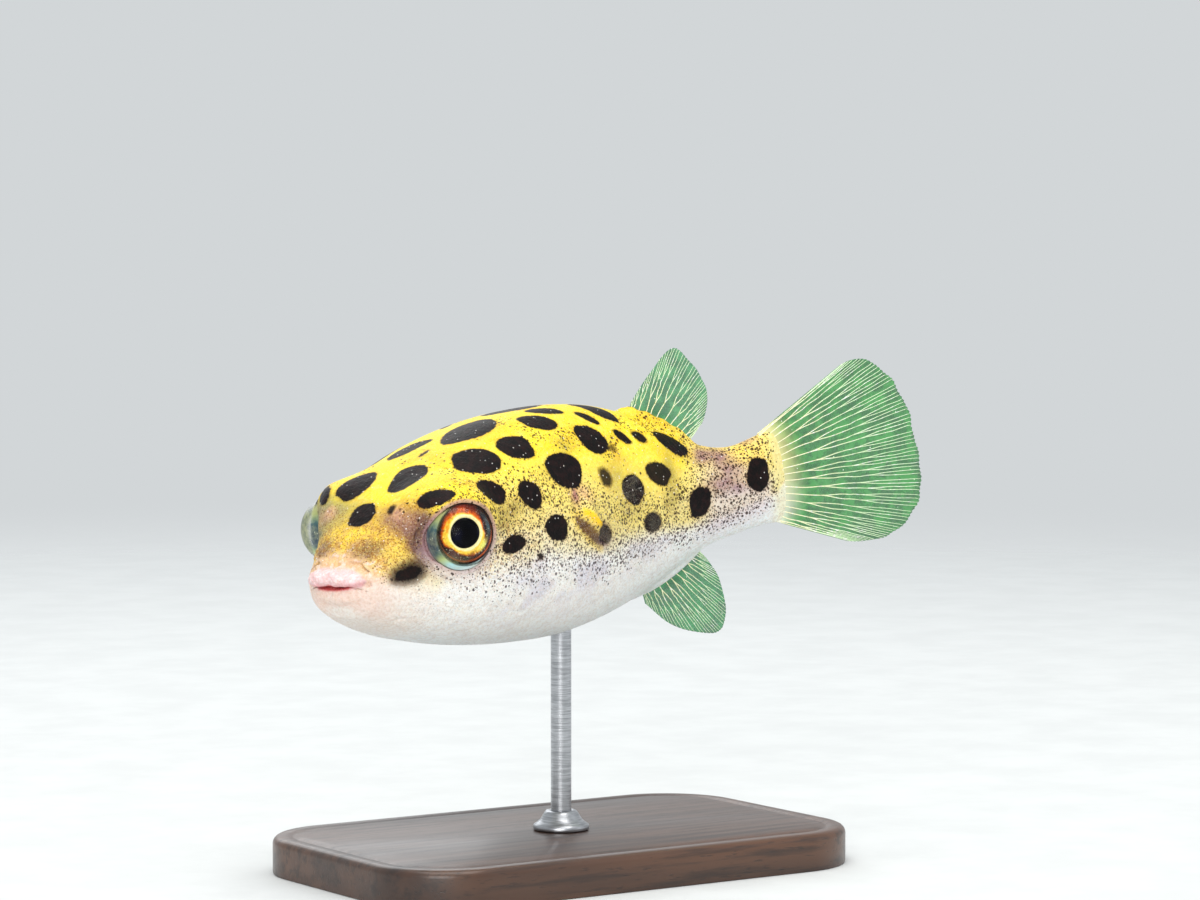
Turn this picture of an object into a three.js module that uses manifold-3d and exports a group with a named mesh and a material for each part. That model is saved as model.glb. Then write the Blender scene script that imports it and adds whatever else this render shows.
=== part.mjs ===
// A life-size still model of a small green spotted pufferfish on a plain display stand.
// Units are millimetres, +Z is up. The head points to -X and the fish's left side to -Y.
// The origin is the centre of the underside of the stand's base.
//
// The body is described along its own spine: "s" runs from the mouth (0) to the end of the
// flesh of the tail, "y" is sideways (+ is the fish's right) and "z" is up. The spine is then
// curved in plan, pitched nose down, and set on its rod.
import * as THREE from "three";
import { mergeVertices } from "three/addons/utils/BufferGeometryUtils.js";
import Module from "manifold-3d";

// ------------------------------------------------------------------ driving dimensions
const GAP = 0.3; // clear space between neighbouring solids

// spine
const HEAD_YAW = 16; // degrees, heading of the spine at the head
const TAIL_YAW = -16; // degrees, heading of the spine at the tail
const BEND_FROM = 8; // where the sideways bend begins along the spine
const BEND_LENGTH = 45; // and how far it is spread
const PITCH = 9; // degrees, nose down

// places along the spine
const NECK = 27.2; // head | trunk
const PEDUNCLE = 50.2; // trunk | tail
const FLESH_END = 59.5; // end of the flesh of the tail

// where the model hangs over the middle of its base
const OFFSET = { x: -31.5, y: -6.1, z: 30.6 };

// stand
const BASE = { length: 58, width: 36, thick: 4, corner: 9, bevel: 0.8 };
const ROD = { radius: 1.1, into: 5.0, at: 31.0 }; // "into" is how far it enters the belly
const COLLAR = { radius: 3.0, height: 2.2 };

// the body at stations along the spine: top and bottom of the profile, half width,
// height of the widest point, and how square the upper and lower halves are
const STATIONS = [
  // s     top   bottom  half   z of   square  square
  //                     width  width  above   below
  [0.0, 3.2, -0.5, 3.7, 1.5, 2.0, 2.3],
  [1.0, 4.1, -1.8, 4.4, 1.4, 2.2, 2.5],
  [2.5, 5.2, -3.2, 5.3, 1.1, 2.5, 2.5],
  [4.5, 6.9, -4.5, 6.5, 1.0, 2.9, 2.5],
  [7.0, 8.8, -5.7, 7.7, 1.1, 3.4, 2.4],
  [10.0, 10.5, -6.6, 8.9, 1.3, 3.4, 2.35],
  [14.0, 12.1, -7.7, 9.95, 1.5, 3.0, 2.3],
  [18.5, 13.35, -8.75, 10.4, 1.6, 2.65, 2.3],
  [23.0, 14.1, -9.5, 10.4, 1.6, 2.45, 2.25],
  [28.5, 14.35, -10.0, 9.9, 1.6, 2.3, 2.2],
  [33.5, 14.0, -9.7, 9.1, 1.7, 2.2, 2.1],
  [38.0, 13.05, -8.8, 7.9, 1.9, 2.1, 2.05],
  [42.0, 11.4, -7.5, 6.5, 2.0, 2.0, 2.0],
  [45.5, 9.3, -5.9, 5.0, 2.1, 2.0, 2.0],
  [49.0, 7.1, -4.4, 3.7, 2.1, 2.0, 2.0],
  [53.0, 5.9, -3.6, 2.7, 2.0, 2.0, 2.0],
  [56.3, 6.2, -3.2, 2.0, 1.9, 2.0, 2.0],
  [58.0, 5.4, -2.5, 1.5, 1.6, 2.0, 2.0],
  [59.0, 4.0, -1.4, 1.1, 1.4, 2.0, 2.0],
  [59.5, 2.9, -0.3, 0.8, 1.3, 2.0, 2.0],
];
const SNOUT_ROUND = 1.4; // how far back the blunt front of the snout is rounded

// eyes: domes that stand out of the sides of the head
const EYE = { s: 10.3, y: 8.7, z: 4.85, radius: 3.55, forward: 26, up: 5 };
const RIM = { radius: 4.15, rise: 0.35, depth: 3.2 };
const BROW = { s: 10.9, y: 6.3, z: 5.9, long: 5.4, wide: 5.0, tall: 4.6 }; // the swelling of the head that carries each eye

// lips: two rolls bent round the front of the snout
const UPPER_LIP = { half: 3.95, s: 0.12, bend: 0.045, z: 2.62, drop: 0.03, deep: 0.85, tall: 0.95 };
const LOWER_LIP = { half: 3.35, s: 0.45, bend: 0.05, z: 0.5, drop: -0.02, deep: 0.82, tall: 0.85 };

// nostrils: one small fleshy organ on each side of the snout
const NOSTRIL = { s: 6.6, y: 4.15, z: 7.8, radius: 0.55, rise: 0.75 };

// fleshy footings of the two fins on the midline
const DORSAL_LOBE = { s: 45.4, half: 3.9, thick: 0.95, tall: 1.0, lift: 0.1 };
const ANAL_LOBE = { s: 44.6, half: 3.7, thick: 0.95, tall: 0.8, lift: 0.0 };

// fins on the midline: the foot of the fan (front and rear), then its outer edge
const DORSAL_FIN = {
  foot: [[42.1, 10.6], [48.6, 7.0]],
  edge: [[42.9, 12.6], [45.6, 15.6], [48.4, 17.7], [50.2, 16.0], [51.5, 13.6], [51.7, 11.6], [50.9, 9.4], [49.5, 7.9]],
};
const ANAL_FIN = {
  foot: [[41.2, -7.0], [47.6, -3.6]],
  edge: [[41.4, -9.3], [44.2, -12.2], [47.4, -13.7], [49.9, -14.0], [50.7, -11.6], [50.4, -8.4], [49.4, -6.1], [48.5, -4.8]],
};
const FIN_THICK = { foot: 0.9, edge: 0.54 };
// the fan of the tail: its outer edge is a superellipse
const CAUDAL_FIN = {
  foot: [[56.9, 5.9], [57.6, -2.5]],
  s: 64.0, z: 2.7, long: 11.1, high: 10.1, square: 3.1, from: 74, to: -83,
};
// the fan behind each gill opening
const PECTORAL = {
  s: 29.6, z: 4.5, // upper end of its foot
  lowS: 30.8, lowZ: 1.0, // lower end of its foot
  sink: 1.6, // how far the foot starts inside the flank
  out: 27, // degrees away from the flank
  length: 7.6, up: 22, down: -52, thick: 0.54,
};
const PECTORAL_LOBE = { s: 30.2, z: 2.75, half: 2.3, deep: 1.7, thick: 1.0 };

const COLOURS = {
  back: [0xe8cf3a, 0.45, 0],
  flank: [0xd9cf8e, 0.45, 0],
  stalk: [0xb7a58d, 0.45, 0],
  lip: [0xf0d3d6, 0.4, 0],
  eye: [0x2a2a22, 0.1, 0],
  fin: [0xc9d8c8, 0.3, 0],
  wood: [0x4a3222, 0.5, 0],
  steel: [0xb9bcc0, 0.3, 1],
};

// ------------------------------------------------------------------ small helpers
const wasm = await Module();
wasm.setup();
const rad = THREE.MathUtils.degToRad;
const clamp = THREE.MathUtils.clamp;

// a smooth curve through the values of one column of STATIONS
function column(k) {
  const x = STATIONS.map((r) => r[0]), y = STATIONS.map((r) => r[k]);
  const h = [], d = [];
  for (let i = 0; i < x.length - 1; i++) {
    h.push(x[i + 1] - x[i]);
    d.push((y[i + 1] - y[i]) / h[i]);
  }
  const m = y.map((_, i) =>
    i === 0 ? d[0] : i === x.length - 1 ? d[i - 1] : (d[i - 1] * h[i] + d[i] * h[i - 1]) / (h[i] + h[i - 1]));
  return (t) => {
    const v = clamp(t, x[0], x[x.length - 1]);
    let i = 0;
    while (i < x.length - 2 && v > x[i + 1]) i++;
    const u = (v - x[i]) / h[i], u2 = u * u, u3 = u2 * u;
    return (2 * u3 - 3 * u2 + 1) * y[i] + (u3 - 2 * u2 + u) * h[i] * m[i] +
      (-2 * u3 + 3 * u2) * y[i + 1] + (u3 - u2) * h[i] * m[i + 1];
  };
}
const topAt = column(1), bottomAt = column(2), widthAt = column(3), beamAt = column(4),
  squareUp = column(5), squareDown = column(6);

// the spine in plan, as a table of points every quarter of a millimetre
const SPINE_FROM = -6, SPINE_STEP = 0.25, SPINE_COUNT = 361;
const heading = (s) => rad(HEAD_YAW + (TAIL_YAW - HEAD_YAW) * THREE.MathUtils.smoothstep(s, BEND_FROM, BEND_FROM + BEND_LENGTH));
const spine = [[0, 0]];
for (let i = 1; i < SPINE_COUNT; i++) {
  const a = (heading(SPINE_FROM + (i - 1) * SPINE_STEP) + heading(SPINE_FROM + i * SPINE_STEP)) / 2;
  spine.push([spine[i - 1][0] + Math.cos(a) * SPINE_STEP, spine[i - 1][1] + Math.sin(a) * SPINE_STEP]);
}
function spineAt(s) {
  const f = clamp((s - SPINE_FROM) / SPINE_STEP, 0, SPINE_COUNT - 1.001), i = Math.floor(f), u = f - i;
  return [spine[i][0] * (1 - u) + spine[i + 1][0] * u, spine[i][1] * (1 - u) + spine[i + 1][1] * u];
}
const [MOUTH_X, MOUTH_Y] = spineAt(0);

// body coordinates (s, y, z) to the model's frame
function place(s, y, z) {
  const [px, py] = spineAt(s), a = heading(s), p = rad(PITCH);
  const gx = px - MOUTH_X - Math.sin(a) * y, gy = py - MOUTH_Y + Math.cos(a) * y;
  return new THREE.Vector3(
    Math.cos(p) * gx - Math.sin(p) * z + OFFSET.x,
    gy + OFFSET.y,
    Math.sin(p) * gx + Math.cos(p) * z + OFFSET.z,
  );
}

// the same for a stiff piece that grows at one place: the spine runs on straight from there
function placeStiff(s, y, z, at) {
  const [px, py] = spineAt(at), a = heading(at), p = rad(PITCH);
  const gx = px - MOUTH_X + Math.cos(a) * (s - at) - Math.sin(a) * y;
  const gy = py - MOUTH_Y + Math.sin(a) * (s - at) + Math.cos(a) * y;
  return new THREE.Vector3(
    Math.cos(p) * gx - Math.sin(p) * z + OFFSET.x,
    gy + OFFSET.y,
    Math.sin(p) * gx + Math.cos(p) * z + OFFSET.z,
  );
}

// one point of the body's skin: "turn" goes round the section from the right side (0) over the
// back (90 degrees), "grow" moves it outwards
function skin(s, turn, grow = 0) {
  const front = clamp((SNOUT_ROUND - s) / SNOUT_ROUND, 0, 1), scale = Math.sqrt(1 - front * front);
  const c = Math.cos(turn), n = Math.sin(turn), up = n >= 0;
  const e = 2 / (up ? squareUp(s) : squareDown(s));
  const mid = beamAt(s);
  const tall = up ? topAt(s) - mid : mid - bottomAt(s);
  return [
    (widthAt(s) * scale + grow) * Math.sign(c) * Math.abs(c) ** e,
    mid + (tall * scale + grow) * Math.sign(n) * Math.abs(n) ** e,
  ];
}

// move each vertex of a geometry, leaving only its positions, with shared vertices merged
function remap(geometry, move) {
  const g = geometry.clone();
  g.deleteAttribute("normal");
  g.deleteAttribute("uv");
  const p = g.attributes.position, v = new THREE.Vector3();
  for (let i = 0; i < p.count; i++) {
    v.fromBufferAttribute(p, i);
    const w = move(v.x, v.y, v.z);
    p.setXYZ(i, w.x, w.y, w.z);
  }
  return mergeVertices(g, 1e-4);
}

function solid(geometry) {
  const g = geometry;
  const make = (index) => new wasm.Manifold(new wasm.Mesh({
    numProp: 3, vertProperties: new Float32Array(g.attributes.position.array), triVerts: index,
  }));
  const index = new Uint32Array(g.index.array);
  const made = make(index);
  if (made.volume() >= 0) return made;
  for (let i = 0; i < index.length; i += 3) [index[i + 1], index[i + 2]] = [index[i + 2], index[i + 1]];
  return make(index);
}

function geometryOf(made) {
  const m = made.getMesh(), n = m.numProp, out = new Float32Array(m.numVert * 3);
  for (let i = 0; i < m.numVert; i++) out.set(m.vertProperties.subarray(i * n, i * n + 3), i * 3);
  const g = new THREE.BufferGeometry();
  g.setAttribute("position", new THREE.BufferAttribute(out, 3));
  g.setIndex(new THREE.BufferAttribute(new Uint32Array(m.triVerts), 1));
  g.computeVertexNormals();
  return g;
}

// ------------------------------------------------------------------ the body
// a length of the body between two stations, closed by flat ends across the spine
function bodyLength(from, to, steps, around, grow = 0, ease = 1) {
  return solid(remap(new THREE.CylinderGeometry(1, 1, 1, around, steps), (x, y, z) => {
    const r = Math.hypot(x, z);
    const t = clamp(0.5 - y, 0, 1) ** ease;
    const s = from + (to - from) * t;
    if (r < 0.5) return place(s, 0, beamAt(s));
    const [a, b] = skin(s, Math.atan2(z, x), grow);
    return place(s, a, b);
  }));
}

// an ellipsoid set in body coordinates, its axes along s, y and z, sheared in z along s
function blob(s, y, z, rs, ry, rz, shear = 0, across = 12, down = 8) {
  return solid(remap(new THREE.SphereGeometry(1, across, down), (a, b, c) =>
    place(s + rs * a, y + ry * c, z + rz * b + shear * rs * a)));
}

// a lip: a roll bent back at both ends and tapering to the corners of the mouth
function lip(l, grow = 0) {
  return solid(remap(new THREE.SphereGeometry(1, 10, 14), (a, b, c) => {
    const y = (l.half + grow) * b, round = Math.sqrt(Math.max(0, 1 - b * b));
    const full = round > 1e-6 ? round ** 0.65 / round : 0;
    return place(
      l.s + l.bend * y * y + (l.deep + grow) * a * full,
      y,
      l.z - l.drop * y * y + (l.tall + grow) * c * full,
    );
  }));
}

// the frame of one eye: its centre, and its axis pointing out of the head
function eyeFrame(side) {
  const centre = place(EYE.s, side * EYE.y, EYE.z);
  const f = rad(EYE.forward), u = rad(EYE.up);
  const tip = place(EYE.s - Math.sin(f) * Math.cos(u), side * (EYE.y + Math.cos(f) * Math.cos(u)), EYE.z + Math.sin(u));
  return { centre, axis: tip.sub(centre).normalize() };
}
function eyeBall(side, grow = 0, across = 18, down = 12) {
  const { centre, axis } = eyeFrame(side);
  const turn = new THREE.Quaternion().setFromUnitVectors(new THREE.Vector3(0, 1, 0), axis);
  return solid(remap(new THREE.SphereGeometry(EYE.radius + grow, across, down), (x, y, z) =>
    new THREE.Vector3(x, y, z).applyQuaternion(turn).add(centre)));
}
// the raised skin round an eye
function eyeRim(side) {
  const { centre, axis } = eyeFrame(side);
  const turn = new THREE.Quaternion().setFromUnitVectors(new THREE.Vector3(0, 1, 0), axis);
  const profile = [
    [0, -RIM.depth], [RIM.radius + 0.1, -RIM.depth], [RIM.radius + 0.55, -1.3], [RIM.radius + 0.25, -0.4],
    [RIM.radius, RIM.rise - 0.15], [RIM.radius - 0.12, RIM.rise], [0, RIM.rise],
  ].map(([r, h]) => new THREE.Vector2(r, h));
  return solid(remap(new THREE.LatheGeometry(profile, 18), (x, y, z) =>
    new THREE.Vector3(x, y, z).applyQuaternion(turn).add(centre)));
}

// the swelling under an eye, cut flat just outside the rim
function brow(side) {
  const { centre, axis } = eyeFrame(side);
  const turn = new THREE.Quaternion().setFromUnitVectors(new THREE.Vector3(0, 1, 0), axis);
  const beyond = solid(remap(new THREE.BoxGeometry(30, 10, 30), (x, y, z) =>
    new THREE.Vector3(x, y + 5 + RIM.rise, z).applyQuaternion(turn).add(centre)));
  return blob(BROW.s, side * BROW.y, BROW.z, BROW.long, BROW.wide, BROW.tall, 0, 16, 10).subtract(beyond);
}

// the nostril organ: a short blunt tube lying on the snout
function nostril(side) {
  return blob(NOSTRIL.s, side * NOSTRIL.y, NOSTRIL.z + 0.1, NOSTRIL.radius * 1.25, NOSTRIL.radius, NOSTRIL.rise, 0.5, 10, 6);
}

// ------------------------------------------------------------------ the fins
const curveOf = (points) => new THREE.SplineCurve(points.map(([a, b]) => new THREE.Vector2(a, b)));

// a fan on the midline between its foot and its outer edge
function fan(footAt, edgeAt, across, along, grow = 0) {
  return solid(remap(new THREE.BoxGeometry(1, 1, 1, across, along, 1), (x, y, z) => {
    const u = x + 0.5, v = y + 0.5;
    const a = footAt(u), b = edgeAt(u);
    const half = (FIN_THICK.foot + (FIN_THICK.edge - FIN_THICK.foot) * Math.sqrt(v)) / 2 + grow;
    return place(a.x + (b.x - a.x) * v, z * 2 * half, a.y + (b.y - a.y) * v);
  }));
}
function midlineFin(fin, across = 13, along = 5) {
  const edge = curveOf(fin.edge);
  const [front, rear] = fin.foot.map(([a, b]) => new THREE.Vector2(a, b));
  return fan((u) => front.clone().lerp(rear, u), (u) => edge.getPoint(u), across, along);
}
function caudalFin(across = 20, along = 6) {
  const c = CAUDAL_FIN;
  const [upper, lower] = c.foot.map(([a, b]) => new THREE.Vector2(a, b));
  const e = 2 / c.square;
  return fan((u) => upper.clone().lerp(lower, u), (u) => {
    const t = rad(c.from + (c.to - c.from) * u);
    return new THREE.Vector2(
      c.s + c.long * Math.cos(t) ** e,
      c.z + c.high * Math.sign(t) * Math.abs(Math.sin(t)) ** e,
    );
  }, across, along);
}
// half width of the body at a place on the flank
function flank(s, z) {
  const mid = beamAt(s), up = z >= mid, n = up ? squareUp(s) : squareDown(s);
  const tall = up ? topAt(s) - mid : mid - bottomAt(s);
  return widthAt(s) * Math.max(0, 1 - Math.abs((z - mid) / tall) ** n) ** (1 / n);
}
function pectoralFin(side, across = 12, along = 6) {
  const f = PECTORAL, out = rad(f.out);
  return solid(remap(new THREE.BoxGeometry(1, 1, 1, across, along, 1), (x, y, z) => {
    const u = x + 0.5, v = y + 0.5;
    const s0 = f.s + (f.lowS - f.s) * u, z0 = f.z + (f.lowZ - f.z) * u;
    const turn = rad(f.up + (f.down - f.up) * u);
    const reach = f.sink + f.length * (0.86 + 0.14 * Math.sin(Math.PI * u)) ;
    const along0 = v * reach - f.sink;
    const y0 = flank(s0, z0) + along0 * Math.cos(turn) * Math.sin(out);
    return placeStiff(
      s0 + along0 * Math.cos(turn) * Math.cos(out) - z * f.thick * Math.sin(out),
      side * (y0 + z * f.thick * Math.cos(out)),
      z0 + along0 * Math.sin(turn), f.s,
    );
  }));
}
// the fleshy stump that carries the pectoral fin
function pectoralLobe(side) {
  const l = PECTORAL_LOBE;
  return blob(l.s, side * (flank(l.s, l.z) - 0.05), l.z, l.deep, l.thick, l.half, -0.35, 10, 8);
}

// ------------------------------------------------------------------ the stand
const belly = place(ROD.at, 0, bottomAt(ROD.at));
const rodTop = belly.z + ROD.into;
function rod(grow = 0, top = rodTop) {
  const low = BASE.thick + COLLAR.height + GAP;
  return new THREE.CylinderGeometry(ROD.radius + grow, ROD.radius + grow, top + grow - low, 20)
    .rotateX(Math.PI / 2).translate(belly.x, belly.y, (low + top + grow) / 2);
}
function plate() {
  const w = BASE.length / 2 - BASE.bevel, d = BASE.width / 2 - BASE.bevel, r = BASE.corner - BASE.bevel;
  const shape = new THREE.Shape();
  shape.absarc(w - r, d - r, r, 0, Math.PI / 2);
  shape.absarc(-w + r, d - r, r, Math.PI / 2, Math.PI);
  shape.absarc(-w + r, -d + r, r, Math.PI, 1.5 * Math.PI);
  shape.absarc(w - r, -d + r, r, 1.5 * Math.PI, 2 * Math.PI);
  return new THREE.ExtrudeGeometry(shape, {
    depth: BASE.thick - 2 * BASE.bevel, curveSegments: 6,
    bevelEnabled: true, bevelThickness: BASE.bevel, bevelSize: BASE.bevel, bevelSegments: 2,
  }).translate(0, 0, BASE.bevel);
}
function collar() {
  const z = BASE.thick + GAP * 0.2;
  const p = [
    [0, z], [COLLAR.radius, z], [COLLAR.radius, z + 0.5], [COLLAR.radius - 0.5, z + 0.9],
    [ROD.radius + 0.7, z + COLLAR.height - 0.3], [ROD.radius + 0.4, z + COLLAR.height - 0.1], [0, z + COLLAR.height - 0.1],
  ].map(([r, h]) => new THREE.Vector2(r, h));
  return new THREE.LatheGeometry(p, 20).rotateX(Math.PI / 2).translate(belly.x, belly.y, 0);
}

// ------------------------------------------------------------------ assembly
const bare = (g) => { g.deleteAttribute("normal"); g.deleteAttribute("uv"); return mergeVertices(g, 1e-4); };
const model = new THREE.Group();
function add(name, geometry, finish) {
  const [color, roughness, metalness] = COLOURS[finish];
  const mesh = new THREE.Mesh(geometry, new THREE.MeshStandardMaterial({ color, roughness, metalness }));
  mesh.name = name;
  model.add(mesh);
}

// head: one length of body with eye rims and nostrils, cut clear of eyes and lips
let head = bodyLength(0.12, NECK - GAP / 2, 13, 30, 0, 1.7);
for (const side of [-1, 1]) {
  head = head.add(brow(side)).add(eyeRim(side)).add(nostril(side));
}
for (const side of [-1, 1]) head = head.subtract(eyeBall(side, GAP));
head = head.subtract(lip(UPPER_LIP, GAP)).subtract(lip(LOWER_LIP, GAP));

// trunk: with the footings of the fins and the socket for the rod
const overBack = (s) => (topAt(s + 0.5) - topAt(s - 0.5));
const underBelly = (s) => (bottomAt(s + 0.5) - bottomAt(s - 0.5));
const trunkLength = (grow) => bodyLength(NECK + GAP / 2, PEDUNCLE - GAP / 2, 11, 30, grow);
let trunk = trunkLength(0);
trunk = trunk
  .add(blob(DORSAL_LOBE.s, 0, topAt(DORSAL_LOBE.s) + DORSAL_LOBE.lift, DORSAL_LOBE.half, DORSAL_LOBE.thick, DORSAL_LOBE.tall, overBack(DORSAL_LOBE.s), 12, 6))
  .add(blob(ANAL_LOBE.s, 0, bottomAt(ANAL_LOBE.s) - ANAL_LOBE.lift, ANAL_LOBE.half, ANAL_LOBE.thick, ANAL_LOBE.tall, underBelly(ANAL_LOBE.s), 12, 6))
  .add(pectoralLobe(-1)).add(pectoralLobe(1));
const socket = solid(bare(rod(GAP)));
trunk = trunk.subtract(socket);

// tail: the stalk up to the root of the tail fin
const tailLength = (grow) => bodyLength(PEDUNCLE + GAP / 2, FLESH_END + grow, 8, 24, grow, 0.6);
const tail = tailLength(0);

// a body a little larger all round clears the feet of the fins
const clearTrunk = trunkLength(GAP), clearTail = tailLength(GAP);
const clearDorsal = blob(DORSAL_LOBE.s, 0, topAt(DORSAL_LOBE.s) + DORSAL_LOBE.lift, DORSAL_LOBE.half + GAP, DORSAL_LOBE.thick + GAP, DORSAL_LOBE.tall + GAP, overBack(DORSAL_LOBE.s), 12, 6);
const clearAnal = blob(ANAL_LOBE.s, 0, bottomAt(ANAL_LOBE.s) - ANAL_LOBE.lift, ANAL_LOBE.half + GAP, ANAL_LOBE.thick + GAP, ANAL_LOBE.tall + GAP, underBelly(ANAL_LOBE.s), 12, 6);
const clearPectoral = (side) => {
  const l = PECTORAL_LOBE;
  return blob(l.s, side * (flank(l.s, l.z) - 0.05), l.z, l.deep + GAP, l.thick + GAP, l.half + GAP, -0.35, 10, 8);
};
// the largest body of a cut, without slivers left inside the flesh
const largest = (made) => made.decompose().reduce((a, b) => (a.volume() > b.volume() ? a : b));

add("head", geometryOf(largest(head)), "back");
add("trunk", geometryOf(largest(trunk)), "flank");
add("tail", geometryOf(largest(tail)), "stalk");
add("lip_upper", geometryOf(lip(UPPER_LIP)), "lip");
add("lip_lower", geometryOf(largest(lip(LOWER_LIP).subtract(lip(UPPER_LIP, GAP)))), "lip");
add("eye_left", geometryOf(eyeBall(-1)), "eye");
add("eye_right", geometryOf(eyeBall(1)), "eye");
add("dorsal_fin", geometryOf(largest(midlineFin(DORSAL_FIN).subtract(clearTrunk).subtract(clearTail).subtract(clearDorsal))), "fin");
add("anal_fin", geometryOf(largest(midlineFin(ANAL_FIN).subtract(clearTrunk).subtract(clearTail).subtract(clearAnal))), "fin");
add("caudal_fin", geometryOf(largest(caudalFin().subtract(clearTail))), "fin");
for (const [name, side] of [["pectoral_fin_left", -1], ["pectoral_fin_right", 1]])
  add(name, geometryOf(largest(pectoralFin(side).subtract(clearTrunk).subtract(clearPectoral(side)))), "fin");
add("stand_base", bare(plate()), "wood");
add("stand_collar", geometryOf(solid(bare(collar())).subtract(solid(bare(new THREE.CylinderGeometry(ROD.radius + GAP, ROD.radius + GAP, 1, 20).rotateX(Math.PI / 2).translate(belly.x, belly.y, BASE.thick + COLLAR.height)))) ), "steel");
add("stand_rod", bare(rod()), "steel");

export default model;
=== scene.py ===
"""Looks of a life-size still model of a small green spotted pufferfish on its stand.

All lengths below are in millimetres until they are placed in the model's frame, which is in metres.
The body is described along its spine: s runs from the mouth (0) to the end of the flesh (about 60),
y is sideways (+ is the fish's right) and z is up. place() bends it, pitches it and hangs it on its rod.
"""
import bpy
import math
import numpy as np
from mathutils import Matrix, Vector


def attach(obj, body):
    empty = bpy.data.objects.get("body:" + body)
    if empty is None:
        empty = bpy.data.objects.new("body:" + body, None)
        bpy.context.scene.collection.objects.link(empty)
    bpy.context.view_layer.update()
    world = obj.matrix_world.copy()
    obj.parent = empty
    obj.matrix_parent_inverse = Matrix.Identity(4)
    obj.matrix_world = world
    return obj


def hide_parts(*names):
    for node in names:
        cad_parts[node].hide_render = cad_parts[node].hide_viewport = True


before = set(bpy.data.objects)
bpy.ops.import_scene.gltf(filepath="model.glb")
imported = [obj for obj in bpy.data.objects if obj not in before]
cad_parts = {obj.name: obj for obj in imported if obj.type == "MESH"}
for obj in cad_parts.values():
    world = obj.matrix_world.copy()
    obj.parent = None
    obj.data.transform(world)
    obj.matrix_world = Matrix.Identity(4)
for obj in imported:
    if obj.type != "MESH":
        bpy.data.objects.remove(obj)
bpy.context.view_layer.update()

# ------------------------------------------------------------------ dimensions shared with the solids
HEAD_YAW, TAIL_YAW, BEND_FROM, BEND_LENGTH, PITCH = 16.0, -16.0, 8.0, 45.0, 9.0
OFFSET = np.array([-31.5, -6.1, 30.6])
STATIONS = np.array([
    # s, top, bottom, half width, z of the widest point, squareness above, below
    [0.0, 3.2, -0.5, 3.7, 1.5, 2.0, 2.3], [1.0, 4.1, -1.65, 4.4, 1.4, 2.2, 2.5],
    [2.5, 5.2, -2.85, 5.3, 1.1, 2.5, 2.5], [4.5, 6.9, -4.05, 6.5, 1.0, 2.9, 2.5],
    [7.0, 8.8, -5.3, 7.7, 1.1, 3.4, 2.4], [10.0, 10.5, -6.4, 8.9, 1.3, 3.4, 2.35],
    [14.0, 12.1, -7.7, 9.95, 1.5, 3.0, 2.3], [18.5, 13.35, -8.75, 10.4, 1.6, 2.65, 2.3],
    [23.0, 14.1, -9.5, 10.4, 1.6, 2.45, 2.25], [28.5, 14.35, -10.0, 9.9, 1.6, 2.3, 2.2],
    [33.5, 14.0, -9.7, 9.1, 1.7, 2.2, 2.1], [38.0, 13.05, -8.8, 7.9, 1.9, 2.1, 2.05],
    [42.0, 11.4, -7.5, 6.5, 2.0, 2.0, 2.0], [45.5, 9.3, -5.9, 5.0, 2.1, 2.0, 2.0],
    [49.0, 7.1, -4.4, 3.7, 2.1, 2.0, 2.0], [53.0, 5.9, -3.6, 2.7, 2.0, 2.0, 2.0],
    [56.3, 6.5, -3.2, 1.85, 1.9, 2.0, 2.0], [57.8, 6.9, -3.2, 1.15, 1.9, 2.0, 2.0],
    [59.0, 7.1, -3.1, 0.62, 1.9, 2.0, 2.0], [60.2, 7.2, -3.1, 0.34, 1.9, 2.0, 2.0],
])
SNOUT_ROUND = 1.4
EYE = dict(s=10.3, y=8.7, z=4.85, radius=3.55, forward=26.0, up=5.0)
BROW = dict(s=10.9, y=6.3, z=5.9, long=5.4, wide=5.60, tall=4.6)


def column(k):
    """A smooth curve through one column of STATIONS."""
    x, y = STATIONS[:, 0], STATIONS[:, k]
    h = np.diff(x)
    d = np.diff(y) / h
    m = np.empty_like(y)
    m[0], m[-1] = d[0], d[-1]
    m[1:-1] = (d[:-1] * h[1:] + d[1:] * h[:-1]) / (h[1:] + h[:-1])

    def at(t):
        v = np.clip(t, x[0], x[-1])
        i = np.clip(np.searchsorted(x, v, side="right") - 1, 0, len(x) - 2)
        u = (v - x[i]) / h[i]
        u2, u3 = u * u, u * u * u
        return ((2 * u3 - 3 * u2 + 1) * y[i] + (u3 - 2 * u2 + u) * h[i] * m[i]
                + (-2 * u3 + 3 * u2) * y[i + 1] + (u3 - u2) * h[i] * m[i + 1])
    return at


top_at, bottom_at, width_at, beam_at, square_up, square_down = (column(k) for k in range(1, 7))

SPINE_S = -6 + 0.25 * np.arange(361)


def heading(s):
    t = np.clip((np.asarray(s, float) - BEND_FROM) / BEND_LENGTH, 0, 1)
    return np.radians(HEAD_YAW + (TAIL_YAW - HEAD_YAW) * t * t * (3 - 2 * t))


_a = heading(SPINE_S)
_mid = (_a[1:] + _a[:-1]) / 2
SPINE_X = np.concatenate([[0], np.cumsum(np.cos(_mid) * 0.25)])
SPINE_Y = np.concatenate([[0], np.cumsum(np.sin(_mid) * 0.25)])
MOUTH = np.array([np.interp(0, SPINE_S, SPINE_X), np.interp(0, SPINE_S, SPINE_Y)])


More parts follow.
